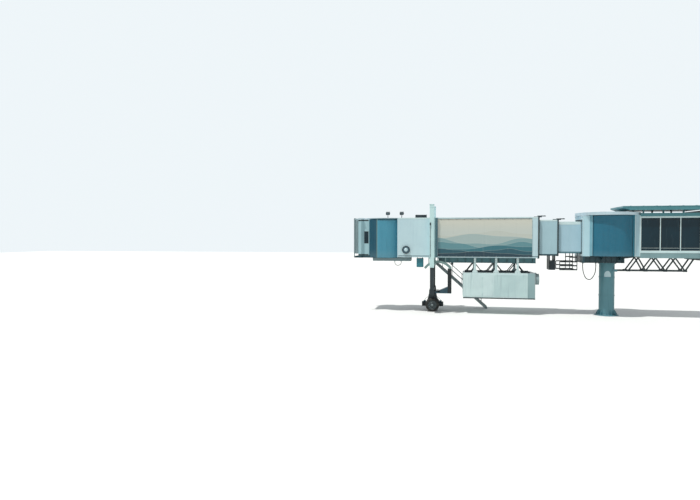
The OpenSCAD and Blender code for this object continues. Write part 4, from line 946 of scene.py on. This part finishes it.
def make_cable_box_fittings():
    shape = Shape(DARK)
    lo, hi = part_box("b_cable_box")
    for side, y in ((1, hi.y), (-1, lo.y)):
        shape.use(DARK)
        shape.door(y, side, lo.x + 0.03, hi.x - 0.03, lo.z + 0.05, lo.z + 0.55, side > 0)
        shape.use(STEEL).rivets((lo.x + 0.02, y, lo.z + 0.02), (hi.x - 0.02, y, lo.z + 0.02), 0.08,
                                Y * side, 0.006)
    shape.use(SHEATH)
    for y in (-0.25, -0.1, 0.1, 0.25):
        shape.rod((lo.x - 0.02, y, lo.z + 0.25), (lo.x + 0.01, y, lo.z + 0.25), 0.03)
    shape.object("cable_box_fittings", "tunnel_b", "dark_steel")


# Lift and bogie


def make_board_fittings():
    shape = Shape(STEEL)
    for x in spread(5.9, 12.5, 12):
        for z in (4.49, 7.34):
            shape.box((x - 0.03, 1.44, z - 0.018), (x + 0.03, 1.446, z + 0.018), 0.003)
            shape.bolt((x, 1.446, z), Y, 0.009, 0.009)
    shape.use(FRAME).box((5.67, 1.4, 7.372), (12.75, 1.452, 7.392), 0.003)
    for z in (4.9, 5.5, 6.1, 6.7, 7.15):
        for x in (5.685, 12.735):
            shape.bolt((x, 1.44, z), Y, 0.009, 0.008)
    shape.object("board_clamps", "tunnel_c", "board_print")


def make_lift_column_fittings():
    inner, outer = 1.53, 1.865
    shape = Shape(BRACKET).box((12.785, 1.51, 4.375), (12.955, inner, 7.45), 0.004).use(STEEL)
    shape.bolts((12.83, inner, 4.5), (12.83, inner, 7.35), 0.24, Y, 0.016, 0.018)
    shape.bolts((12.91, inner, 4.62), (12.91, inner, 7.25), 0.24, Y, 0.012, 0.014)
    for x in (13.06, 13.34):
        shape.bolt((x, 1.86, 8.5), Y, 0.012, 0.014)
    shape.use(WHITE)
    for z in (3.6, 3.72, 8.32):
        shape.box((13.015, 1.495, z), (13.385, outer, z + 0.022), 0.004)
    # Switch box and conduit on the outer face
    shape.use(DARK).rod((13.32, outer, 4.4), (13.32, outer, 6.9), 0.014, 10)
    shape.box((13.27, 1.85, 6.9), (13.365, 1.92, 7.1), 0.006)
    for z in (4.6, 5.3, 6.0, 6.7):
        shape.box((13.29, 1.85, z - 0.012), (13.35, 1.884, z + 0.012), 0.002)
    shape.mirror().object("lift_column_fittings", "tunnel_c", "white_paint")


def make_ram_fittings():
    ram_y, plate = 1.68, 1.872
    shape = Shape(DARK).box((13.02, ram_y - 0.18, 1.84), (13.38, ram_y + 0.18, plate), 0.004)
    shape.use(STEEL).rivets((11.75, 0.45, 1.5), (12.7, 0.45, 1.5), 0.12, Y, 0.007)
    for dx in (-0.15, 0.15):
        for dy in (-0.15, 0.15):
            shape.bolt((LIFT_X + dx, ram_y + dy, plate), Z, 0.016, 0.02)
    # Hoses from the hydraulic pack to the cross beam
    shape.use(SHEATH)
    for z in (1.56, 1.61, 1.66):
        shape.tube([(12.6, 0.445, z), (12.68, 0.475, z), (12.85, 0.48, z + 0.03),
                    (12.96, 0.47, z + 0.06), (13.0, 0.44, z + 0.06)], 0.014, 8)
    shape.mirror().use(DARK)
    for y in spread(-1.4, 1.4, 9):
        for x, out in ((13.0, -1), (13.4, 1)):
            shape.box((x, y - 0.006, 1.47), (x + out * 0.02, y + 0.006, 1.83), 0.001)
    # Filler cap and lid hinges of the hydraulic pack
    shape.use(STEEL).rod((11.85, 0.25, 1.99), (11.85, 0.25, 2.04), 0.05, 20)
    shape.rod((11.85, 0.25, 2.03), (11.85, 0.25, 2.055), 0.035, 20)
    for y in (-0.3, 0.0):
        shape.box((11.76, y - 0.06, 1.998), (11.86, y + 0.06, 2.012), 0.003)
    shape.object("lift_fittings", "lift", "dark_steel")


def make_bogie_fittings():
    motor_z = 0.57
    # Bearing cap at the axle's end
    shape = Shape(STEEL)
    shape.lathe((LIFT_X, 0.78, AXLE_Z), Y,
                [(0.07, 0), (0.082, 0.002), (0.082, 0.018), (0.05, 0.03), (0.0, 0.032)], 24)
    shape.bolt_circle((LIFT_X, 0.792, AXLE_Z), Y, 0.066, 6, 0.007, 0.01)
    shape.bolts((12.85, 0.33, 0.45), (13.55, 0.33, 0.45), 0.14, Y, 0.012, 0.012)
    # Ribs on the yoke's cheeks
    shape.use(DARK)
    for dx in (-0.3, -0.1, 0.1, 0.3):
        x = LIFT_X + dx
        shape.box((x - 0.008, 0.33, 0.85), (x + 0.008, 0.345, 1.2), 0.002)
    shape.mirror().bolt_circle((LIFT_X, 0, 1.372), -Z, 0.26, 20, 0.014, 0.018)
    for s in (1, -1):
        # Cooling fins, fan cowl, terminal box and cable of the drive motor
        def at(d, y=0.0, z=motor_z):
            return Vector((LIFT_X + s * (0.43 + d), y, z))

        shape.use(DARK)
        for k in range(11):
            shape.rod(at(0.1 + 0.022 * k), at(0.107 + 0.022 * k), 0.207, 28)
        shape.lathe(at(0.36), X * s, [(0.192, 0), (0.2, 0.01), (0.2, 0.055), (0.16, 0.066),
                                      (0.03, 0.068)], 28)
        shape.use(MACHINE).box(at(0.12, -0.08, 0.76), at(0.3, 0.08, 0.85), 0.008)
        shape.use(SHEATH).tube([at(0.2, 0, 0.84), at(0.18, 0.02, 0.95), at(0.05, 0.03, 1.06),
                                at(-0.12, 0.04, 1.15), at(-0.22, 0.03, 1.24)], 0.014, 8)
        # Gearbox flange with bolts
        shape.use(DARK).rod(at(-0.01), at(0.05), 0.235, 28)
        shape.bolt_circle(at(0.05), X * s, 0.214, 12, 0.011, 0.014)
    shape.object("bogie_fittings", "bogie", "dark_steel")


def make_wheel(name, body, y, stands_for):
    """A lugged solid tyre on a bolted rim."""
    c = Vector((LIFT_X, y, AXLE_Z))
    side = [(0.362, -0.175), (0.37, -0.186), (0.43, -0.19), (0.475, -0.188), (0.5, -0.172),
            (0.528, -0.15), (0.545, -0.115), (0.549, -0.09), (0.549, -0.05), (0.545, -0.045),
            (0.531, -0.04), (0.531, -0.03), (0.545, -0.025), (0.549, -0.02)]
    profile = side + [(r, -w) for r, w in reversed(side)] + [(0.355, 0.15), (0.355, -0.15)]
    lug_r, lug_w, lug_depth, lug_steps = 0.52, 0.045, 0.014, 4
    rows = []
    for k, t in enumerate(angles(144)):
        row = []
        for r, w in profile:
            # Every fourth step is a groove, staggered from one shoulder to the other
            if r > lug_r and abs(w) > lug_w and (k + (0 if w > 0 else 2)) % lug_steps == 0:
                r -= lug_depth
            row.append(c + Vector((r * cos(t), w, r * sin(t))))
        rows.append(row)
    shape = Shape(TYRE).skin(rows, close_row=True, close_all=True)
    smooth_by_angle(shape.object(name + "_tyre", body, "tyre", (stands_for,)))
    half = [(0.072, -0.17), (0.19, -0.17), (0.2, -0.16), (0.23, -0.13), (0.3, -0.128),
            (0.325, -0.15), (0.352, -0.168), (0.366, -0.178), (0.372, -0.172), (0.356, -0.14)]
    rim = half + [(0.352, 0.0)] + [(r, -w) for r, w in reversed(half)] + half[:1]
    shape = Shape(RIM).lathe(c, Y, rim, 64).use(STEEL)
    for side in (1, -1):
        shape.bolt_circle(c + Y * (side * 0.129), Y * side, 0.265, 12, 0.016, 0.026)
    smooth_by_angle(shape.object(name + "_rim", body, "tyre"))


# Air unit and what hangs under the outer tunnel


def make_unit_fittings():
    y, lap, low, high = 1.3, 1.312, 1.45, 3.02
    door_z = 1.36, 3.08
    shape = Shape(UNIT).door(y, 1, 8.58, 9.3, *door_z, True).door(y, 1, 9.36, 10.1, *door_z, False)
    for x0, x1, count in ((6.78, 8.42, 34), (6.02, 6.62, 12)):
        shape.frame(y, x0, x1, low, high, 0.03, 0.02)
        for x in spread(x0 + 0.02, x1 - 0.02, count):
            shape.box((x - 0.007, y, low), (x + 0.007, 1.316, high))
    # Corner angles, and the leaf of the blanked end
    for x0, x1 in ((5.4, 5.45), (10.75, 10.8)):
        shape.box((x0, y, 1.25), (x1, lap, 3.2), 0.003)
    shape.box((10.8, 0.12, 1.4), (10.812, 1.2, 3.05), 0.004)
    # End plenum in the duct's grey, with hooped collars for the blanked ducts
    shape.use(UNIT_GREY).box((5.4, y, 1.26), (5.95, 1.306, 3.19), 0.003)
    duct_y, duct_z = 0.65, 2.72
    for x in (5.1, 5.25, 5.385):
        shape.lathe((x, duct_y, duct_z), -X,
                    [(0.42, -0.014), (0.438, -0.012), (0.438, 0.012), (0.42, 0.014)])
    shape.use(DARK)
    shape.lathe((5.078, duct_y, duct_z), -X, [(0.41, -0.002), (0.4, 0.004), (0.02, 0.004)])
    shape.box((5.4, 1.2, 1.2), (10.8, lap, 1.29), 0.004)
    shape.use(STEEL).bolt_circle((5.4, duct_y, duct_z), -X, 0.455, 16, 0.01, 0.01)
    for x in (5.42, 5.93):
        shape.rivets((x, 1.306, 1.35), (x, 1.306, 3.1), 0.14, Y, 0.007)
    shape.bolts((5.6, lap, 1.245), (10.6, lap, 1.245), 0.35, Y, 0.012, 0.012)
    shape.rivets((5.6, y, 3.16), (10.7, y, 3.16), 0.18, Y, 0.007)
    for z in (1.9, 2.6):
        shape.box((10.812, 0.2, z - 0.06), (10.84, 0.24, z + 0.06), 0.004)
    shape.mirror().use(UNIT)
    for side in (1, -1):
        shape.door(side * y, side, 10.24, 10.74, *door_z, side > 0)
    # Fans on top, with guards
    for x in (7.6, 8.9, 10.2):
        shape.use(UNIT_GREY).lathe((x, 0, 3.2), Z, [(0.36, 0), (0.36, 0.09), (0.34, 0.1),
                                                    (0.33, 0.09), (0.33, 0.0)], 40)
        shape.use(DARK)
        for r in (0.08, 0.14, 0.2, 0.26, 0.32):
            shape.hoop([(x + r * cos(t), r * sin(t), 3.285) for t in angles(28)], 0.004, 4)
        for t in angles(5):

            def blade(end):
                r, wide = end
                across = Vector((-sin(t), cos(t), 0)) * wide
                p = Vector((x + r * cos(t), r * sin(t), 3.24))
                return [p - across - Z * 0.02, p + across + Z * 0.02,
                        p + across + Z * 0.024, p - across - Z * 0.016]

            shape.plate(((0.06, 0.05), (0.3, 0.09)), blade)
    shape.object("air_unit_fittings", "tunnel_c", "white_paint")


def make_hanger_fittings():
    y = 1.29
    shape = Shape(STEEL)
    for x in HANGER_X:
        shape.use(STEEL)
        for dx in (-0.13, 0.0, 0.13):
            shape.bolt((x + dx, y, 3.235), Y, 0.013, 0.014)
        for z in (3.75, 4.02, 4.16, 4.3):
            for dx in (-0.05, 0.05):
                shape.bolt((x + dx, y, z), Y, 0.011, 0.012)
        shape.use(WHITE).box((x - 0.012, y, 3.46), (x + 0.012, y + 0.02, 4.34), 0.003)
    shape.mirror().object("hanger_bolts", "tunnel_c", "white_paint")


def make_underframe_fittings():
    shape = Shape(STEEL).bolts((5.5, 1.2, 3.99), (12.6, 1.2, 3.99), 0.3, Y, 0.01, 0.01)
    for hanger in HANGER_X:
        for x, z in ((hanger + 0.06, 4.03), (hanger + 0.66, 3.25), (hanger - 0.54, 3.25)):
            shape.use(DARK).box((x - 0.1, 0.57, z - 0.07), (x + 0.1, 0.582, z + 0.07), 0.003)
            shape.use(STEEL)
            for dx, dz in ((-0.06, 0.03), (0.06, 0.03), (0.0, -0.03)):
                shape.bolt((x + dx, 0.582, z + dz), Y, 0.01, 0.01)
    shape.use(DARK)
    for x in spread(5.6, 12.5, 12):
        shape.box((x - 0.006, 1.07, 4.01), (x + 0.006, 1.196, 4.33), 0.001)
    # Pipes along the beams' inner faces
    for z in (4.08, 4.16, 4.24):
        shape.rod((5.5, 0.94, z), (12.6, 0.94, z), 0.018, 10)
    shape.mirror().use(LAMP_LENS).lathe(
        (11.64, 1.1, 3.81), -Z, [(0.085, -0.01), (0.075, 0.02), (0.045, 0.045), (0.0, 0.055)], 24)
    shape.object("underframe_fittings", "tunnel_c", "girder_paint")


def make_guide_fittings():
    """Edge flanges, cross ribs and clamps that make the cable arch a chain guide."""
    cx, cz, r = 12.75, 2.82, 1.3

    def section(azimuth, low, high, y0, y1, shift=0.0):
        t = radians(azimuth)
        return [(cx + q * cos(t) - shift * sin(t), y, cz + q * sin(t) + shift * cos(t))
                for q, y in ((low, y0), (high, y0), (high, y1), (low, y1))]

    shape = Shape(GUIDE)
    for y0, y1 in ((1.232, 1.244), (1.436, 1.448)):
        shape.solid([section(a, r - 0.17, r + 0.012, y0, y1) for a in spread(36, 144, 40)])
    shape.use(BLACK).frame(1.43, 11.73, 11.94, 1.66, 3.38, 0.012, 0.008)
    for a in spread(39, 141, 30):
        shape.solid([section(a, r, r + 0.02, 1.25, 1.43, shift) for shift in (-0.006, 0.006)])
    for z in spread(1.7, 3.3, 7):
        shape.box((11.68, 1.243, z - 0.015), (11.99, 1.437, z + 0.015), 0.003)
        shape.bolt((11.98, 1.43, z), Y, 0.01, 0.012)
    shape.object("cable_guide_fittings", "tunnel_c", "black_plastic")


def make_reel_fittings():
    x, z = 15.2356, 4.97

    def on_reel(r, y, t):
        return Vector((x + r * cos(t), y, z + r * sin(t)))

    shape = Shape(DARK)
    for y in (1.452, 1.585):
        shape.lathe((x, y, z), Y, [(0.302, -0.006), (0.308, 0.0), (0.302, 0.006), (0.25, 0.006),
                                   (0.25, -0.006), (0.302, -0.006)])
    for t in angles(8):
        shape.rod(on_reel(0.13, 1.593, t), on_reel(0.27, 1.593, t), 0.01, 6)
    shape.use(PANEL).lathe((x, 1.59, z), Y, [(0.15, 0), (0.145, 0.02), (0.1, 0.03), (0, 0.032)], 36)
    shape.use(STEEL).bolt_circle((x, 1.615, z), Y, 0.11, 6, 0.01, 0.012)
    turns, steps = 5, 24
    wound = [on_reel(0.19, 1.475 + 0.09 * k / (turns * steps), 2 * pi * k / steps)
             for k in range(turns * steps + 1)]
    shape.use(SHEATH).tube(wound, 0.011, 6)
    shape.object("reel_fittings", "tunnel_c", "machine_paint")


def make_lamp_fittings():
    # Louvres in the sides of the lamp box
    y, x0, x1 = 0.21, 13.75, 14.05
    shape = Shape(DARK).frame(y, x0, x1, 7.56, 7.72, 0.03, 0.014)
    for z in spread(7.56, 7.688, 5):
        shape.plate((x0, x1), lambda x: [(x, y + 0.002, z), (x, y + 0.0119, z + 0.01984),
                                         (x, y + 0.0119, z + 0.0224), (x, y + 0.002, z + 0.0064)])
    shape.mirror()
    for x in (15.6356, 16.75):
        base = Matrix.Translation((x, 0.9, 7.88)) @ Matrix.Rotation(radians(-20), 4, "X")

        def slab(left, right, half, depths):
            corners = (left, -half), (right, -half), (right, half), (left, half)
            shape.solid([[base @ Vector((a, d, b)) for a, b in corners] for d in depths])

        shape.use(LAMP_LENS)
        slab(-0.13, 0.13, 0.08, (0.092, 0.1))
        shape.use(DARK)
        for k in range(7):
            slab(-0.13 + 0.0433 * k, -0.12 + 0.0433 * k, 0.09, (-0.15, -0.118))
        for s in (1, -1):
            p = base @ Vector((s * 0.152, 0, 0))
            shape.rod(p, p + X * (s * 0.02), 0.03, 16)
        shape.use(STEEL).rod((x, 0.9, 7.5), (x, 0.9, 7.512), 0.07, 20)
    for x in (13.7, 14.5):
        shape.hoop([(x, 0.05 * cos(t), 7.8 + 0.035 * sin(t)) for t in angles(14)], 0.008, 6)
    shape.object("lamp_fittings", "tunnel_c", "lamp_paint")


def make_cabinet():
    """Control cabinet that hangs under the outer tunnel beside the lift."""
    x0, x1, y0, y1, z0, z1 = 13.9, 14.42, 0.75, 1.28, 3.6, 4.3
    shape = Shape(TEAL_BOX).box((x0, y0, z0), (x1, y1, z1), 0.012)
    shape.door(y1, 1, x0 + 0.03, x1 - 0.03, z0 + 0.04, z1 - 0.04, True).use(STEEL)
    for x in (x0 + 0.06, x1 - 0.06):
        for y in (y0 + 0.06, y1 - 0.06):
            shape.rod((x, y, z1 - 0.01), (x, y, 4.4), 0.012, 10)
            shape.rod((x, y, 4.36), (x, y, 4.375), 0.03, 6, smooth=False)
    shape.use(DARK)
    for x in spread(x0 + 0.1, x0 + 0.4, 4):
        shape.rod((x, 1.0, z0 - 0.03), (x, 1.0, z0 + 0.005), 0.02, 10)
    shape.object("control_cabinet", "tunnel_c", "machine_paint")


def make_service_door_fittings():
    y = -TUNNEL_C[0]
    hinge_x, handle_x, grip_y = 14.655, 13.935, y - 0.056
    shape = Shape(FRAME).frame(y, 13.85, 14.65, 4.51, 6.62, 0.045, -0.02, 0.004)
    shape.frame(y, 14.1, 14.4, 5.7, 6.3, 0.03, -0.012, 0.003)
    shape.use(GLASS).box((14.1, y, 5.7), (14.4, y - 0.006, 6.3), 0.002)
    shape.use(PANEL).box((13.8, y, 6.68), (14.7, y - 0.16, 6.7), 0.004)
    shape.use(STEEL).box((13.86, y, 4.52), (14.64, y - 0.005, 4.78), 0.002)
    for z in (4.8, 5.55, 6.35):
        shape.rod((hinge_x, y - 0.02, z - 0.06), (hinge_x, y - 0.02, z + 0.06), 0.014, 10)
    shape.rod((handle_x, y - 0.042, 5.5), (handle_x, grip_y, 5.5), 0.028, 16)
    shape.rod((handle_x, grip_y, 5.5), (14.06, grip_y, 5.5), 0.01, 8)
    shape.object("service_door_fittings", "tunnel_c", "panel_paint")


# Cab, canopy and stair


def make_cab_fittings():
    plan = [(18.3, 1.09), (18.65, 1.09), (18.87, 1.3), (19.1, 1.3)]
    shape = Shape(RUBBER).frame(1.088, 18.34, 18.62, 5.5, 6.4, 0.035, 0.006)
    shape.box((19.1, 1.125, 4.52), (19.112, 1.16, 7.12), 0.004)
    # Dark bands at the wall's head and foot, 4 mm proud where the wall passes the bulkhead
    shape.use(FRAME)
    for z0, z1 in ((7.27, 7.37), (4.52, 4.6)):

        def band(place):
            x, y = place
            out = y + (0.004 if x < 18.8 else 0.01)
            return [(x, y, z0), (x, out, z0), (x, out, z1), (x, y, z1)]

        shape.plate(plan, band)
    # Guides of the roll-up front door
    shape.use(STEEL).box((18.96, 1.09, 4.51), (19.04, 1.13, 7.12), 0.004)
    for (ax, ay), (bx, by) in zip(plan[1:], plan[2:]):
        out = Vector((ay - by, bx - ax, 0)).normalized()
        for z, d in ((7.32, 0.01), (4.56, 0.008)):
            shape.rivets((ax + 0.03, ay + d, z), (bx - 0.03, by + d, z), 0.12, out, 0.006)
    # Housing of the roll-up front door, above the opening inside
    shape.mirror().use(WHITE).box((18.76, -1.16, 7.13), (19.04, 1.16, 7.37), 0.02)
    shape.use(RUBBER).box((19.07, -1.12, 4.505), (19.1, 1.12, 4.522), 0.004).use(FRAME)
    for k in range(6):
        x, z = 18.99 + 0.006 * (k % 2), 7.0 + 0.02 * k
        shape.box((x, -1.09, z), (x + 0.012, 1.09, z + 0.016), 0.002)
    shape.use(STEEL)
    for y in spread(-1.1, 1.1, 9):
        shape.bolt((18.9, y, 7.13), -Z, 0.01, 0.01)
    # Roof laps and their rivets
    shape.use(WHITE)
    for x in (17.0, 17.75, 18.5):
        half = 1.1 if x < 18.2 else 1.05
        shape.box((x - 0.03, -half, 7.44), (x + 0.03, half, 7.449), 0.002)
        for d in (-0.02, 0.02):
            shape.rivets((x + d, 0.05 - half, 7.449), (x + d, half - 0.05, 7.449), 0.15, Z, 0.006)
    shape.object("cab_fittings", "cab", "white_paint")


def make_bow_fittings():
    lo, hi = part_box("canopy_bow")
    shape = Shape(STEEL)
    for z in spread(lo.z + 0.4, hi.z - 0.25, 12):
        shape.bolt((lo.x + 0.03, hi.y, z), Y, 0.008, 0.008)
    shape.rod((19.43, hi.y - 0.02, 4.41), (19.43, hi.y + 0.012, 4.41), 0.034, 20)
    shape.mirror().object("canopy_bow_bolts", "canopy", "frame_paint")


def make_stair_fittings():
    """Rubber nosings and stringer bolts of the service stair."""
    pin, foot = Vector((13.66, 0, 4.38)), Vector((8.86, 0, 0.09))
    shape = Shape(RUBBER)
    for x, _, z in spread(pin, foot, STAIR_TREADS + 2)[1:-1]:
        shape.use(RUBBER).box((x - 0.128, -2.6, z + 0.04), (x - 0.1, -1.98, z + 0.049), 0.002)
        shape.use(STEEL)
        for y, out in ((-1.94, Y), (-2.64, -Y)):
            for d in (-0.06, 0.06):
                shape.bolt((x + d, y, z + 0.02), out, 0.01, 0.01)
    shape.object("stair_nosings", "stair", "grating")


# The whole scene

make_camera()
make_light()

SHEATH = cable_sheath()
COLUMN = painted("column_paint", "#5e94a0", "#3e6e7a", streaks=0.4)
GIRDER = painted("girder_paint", "#1f4650", "#142f37", rough=0.4, streaks=0.4)
FLOOR = painted("floor_paint", "#1f4650", "#142f37", rough=0.55, streaks=0.4, zones=walked)
UNDERFRAME = painted("underframe_paint", "#467a82", "#2f5760", zones=under_floor)
CAB_DECK = painted("cab_deck_paint", "#8aa4aa", "#647e85")
SILL = painted("sill_paint", "#86a8ac", "#628085")
PANEL = painted("panel_paint", "#cce8ee", "#a4c2d0", streaks=0.18, grime=0.2, panels=SEAM_PITCH)
PANEL_B = painted("panel_paint_middle", "#b0d2dc", "#8cacb6", streaks=0.2, grime=0.2, panels=1.119)
PANEL_V = painted("panel_paint_vestibule", "#bfe4ee", "#9abac4", streaks=0.2, grime=0.2)
PANEL_CAB = painted("panel_paint_cab", "#a8ced6", "#83a7b0", streaks=0.2, grime=0.2)
PANEL_A = painted("panel_paint_inner", "#afd2e0", "#8cb1be", streaks=0.2, grime=0.2, panels=1.085)
ROOF = painted("roof_paint", "#c6dde7", "#96acb5", streaks=0.2, grime=0.3)
FRAME = painted("frame_paint", "#1e3238", "#12200f", rough=0.4, streaks=0.2, grime=0.2)
WHITE = painted("white_paint", "#d6edee", "#a3bcc4", rough=0.35, streaks=0.22, grime=0.2, coat=0.2)
COLUMNS = painted("lift_column_paint", "#cdeeee", "#9ec3ce", rough=0.35, coat=0.2,
                  zones=bracket_strip)
UNIT = painted("unit_paint", "#d7eeee", "#a1bdc3", rough=0.4, streaks=0.35, zones=grey_plenum)
UNIT_GREY = painted("duct_paint", "#9ab8bb", "#769397", streaks=0.35)
CANOPY = painted("canopy_paint", "#4c8a92", "#34686f")
BOW = painted("bow_paint", "#7f979d", "#5c7379", zones=bow_edge)
DARK = painted("dark_steel", "#26343a", "#151d21", rough=0.5, grime=0.35)
MACHINE = painted("machine_paint", "#41697a", "#2b4c59")
TRUSS = painted("truss_paint", "#1d3338", "#11201f", streaks=0.35)
BRACKET = painted("bracket_paint", "#527f8a", "#3a626c")
TEAL_BOX = painted("cabinet_paint", "#2f7f8d", "#205a66")
# A darker blue-grey than the vestibule's walls: painted shade on the vestibule's jambs, used on the
# cab's posts too
SHADED_GREY_JAMB = painted("vestibule_jamb", "#7db1c1", "#5f8e9a")
TEAL_JAMB = painted("teal_jamb", "#1b778e", "#115c70")
GUIDE = painted("guide_paint", "#7d9a98", "#5c7674")
GUIDE_NODE = painted("cable_guide_paint", "#20282b", "#14191b", rough=0.6, zones=arch_colour)
RIM = painted("rim_paint", "#465256", "#262f32", streaks=0.2, grime=0.5)
GRATING = grating("grating", "#9aa7aa", "#232b2e")
GLASS = glass("dark_glass", "#0d2f3b", "#07202a")
LAMP_LENS = glass("lamp_lens", "#66757a", "#3d4a4e")
BLACK = rubbery("black_plastic", "#20282b", "#474f52")
RUBBER = rubbery("rubber", "#1e2224", "#50575a")
TYRE = rubbery("tyre", "#1b1d1e", "#5a5a54", 6)
STEEL = bare_steel("bare_steel", "#8f9a9d", "#5d686b")
TEAL_SLATS = slat_paint("rotunda_slats", "#20748e", "#14566e")
# The cab's slats are dark from 7.3 m up: painted shade under the cab roof
CAB_SLATS = slat_paint("cab_slats", "#53a3bb", "#397f98", head_track_and_shade=7.3)
DARK_SLATS = slat_paint("dark_slats", "#1b5b70", "#114354")
EDGE_DARK = worn("edge_dark", "#2b4a52")
EDGE_GREY = worn("edge_grey", "#86a0a6", "#5d6b6e")
EDGE_PALE = worn("edge_pale", "#c8dade", "#7f8c90")

# The CAD nodes in each paint, the paint of their worn edges and the edges' width
FINISHES = (
    (COLUMN, EDGE_GREY, 0.004, "column_base column"),
    (GIRDER, EDGE_DARK, 0.003, "turntable"),
    (FLOOR, EDGE_DARK, 0.003, "rotunda_floor turntable_floor a_floor b_floor c_floor cab_floor"),
    (UNDERFRAME, None, 0.003, "underframe"),
    (CAB_DECK, EDGE_GREY, 0.003, "cab_deck"),
    (SILL, EDGE_GREY, 0.003, "corridor_floor"),
    (PANEL, EDGE_PALE, 0.002, "c_wall_near c_wall_far c_bulkhead service_door"),
    (PANEL_B, EDGE_PALE, 0.002, "portal b_walls"),
    (PANEL_V, EDGE_PALE, 0.002, "vestibule_walls vestibule_front"),
    (PANEL_CAB, EDGE_PALE, 0.002, "cab_walls"),
    (PANEL_A, EDGE_PALE, 0.002, "a_walls"),
    (ROOF, EDGE_PALE, 0.003, "rotunda_roof vestibule_roof a_roof b_roof c_roof cab_roof"),
    (FRAME, EDGE_DARK, 0.003, "corridor_flange b_end_frame c_end_frame"),
    (BOW, None, 0.003, "canopy_bow"),
    (CANOPY, EDGE_GREY, 0.004, "corridor_roof"),
    (WHITE, EDGE_PALE, 0.003, "corridor_frames air_unit_hangers"),
    (COLUMNS, EDGE_PALE, 0.003, "lift_columns"),
    (UNIT, EDGE_PALE, 0.004, "air_unit"),
    (DARK, EDGE_DARK, 0.003, "cable_rack b_cable_box lift_rams bogie_frame lamps"),
    (MACHINE, EDGE_DARK, 0.003, "wall_reel power_pack"),
    (TRUSS, EDGE_DARK, 0.003, "corridor_truss"),
    (GRATING, None, 0.002, "landing stair_flight stair_rails"),
    (GLASS, None, 0.002, "corridor_glass cab_window"),
    (GUIDE_NODE, None, 0.003, "cable_guide"),
    (board_print("board_print"), None, 0.003, "art_board"),
)
for finish, edge, bevel, names in FINISHES:
    for node in names.split():
        finish_node(node, finish, edge, bevel)

make_cable("rotunda_loop", "swing", ROTUNDA_CABLE, 0.06, "rotunda_cable")
make_cable("cab_loop", "tunnel_c", CAB_CABLE, 0.04, "cab_cable")
for side, name in ((1, "near"), (-1, "far")):
    make_curtain(f"rotunda_slats_{name}", ROTUNDA_AXIS, 2.051, 4.562, 7.603, side * 138.1,
                 side * 41.9, 6.0, "rotunda_curtains", rotunda_paint)
    make_curtain(f"cab_slats_{name}", CAB_AXIS, 1.501, 4.332, 7.458, side * 140.0,
                 side * 40.0, 5.0, "cab_curtains", cab_paint)
make_bellows()
make_bumper()
make_column_fittings()
make_jambs()
make_rotunda_roof_fittings()
make_corridor_fittings()
make_portal_fittings()
make_turntable_fittings()
make_tunnels()
make_rack_cables()
make_cable_box_fittings()
make_board_fittings()
make_lift_column_fittings()
make_ram_fittings()
make_bogie_fittings()
make_wheel("near", "near_wheel", 0.56, "wheel_near")
make_wheel("far", "far_wheel", -0.56, "wheel_far")
make_unit_fittings()
make_hanger_fittings()
make_underframe_fittings()
make_guide_fittings()
make_reel_fittings()
make_lamp_fittings()
make_cabinet()
make_service_door_fittings()
make_cab_fittings()
make_cab_posts()
make_bow_fittings()
make_stair_fittings()
make_floor()
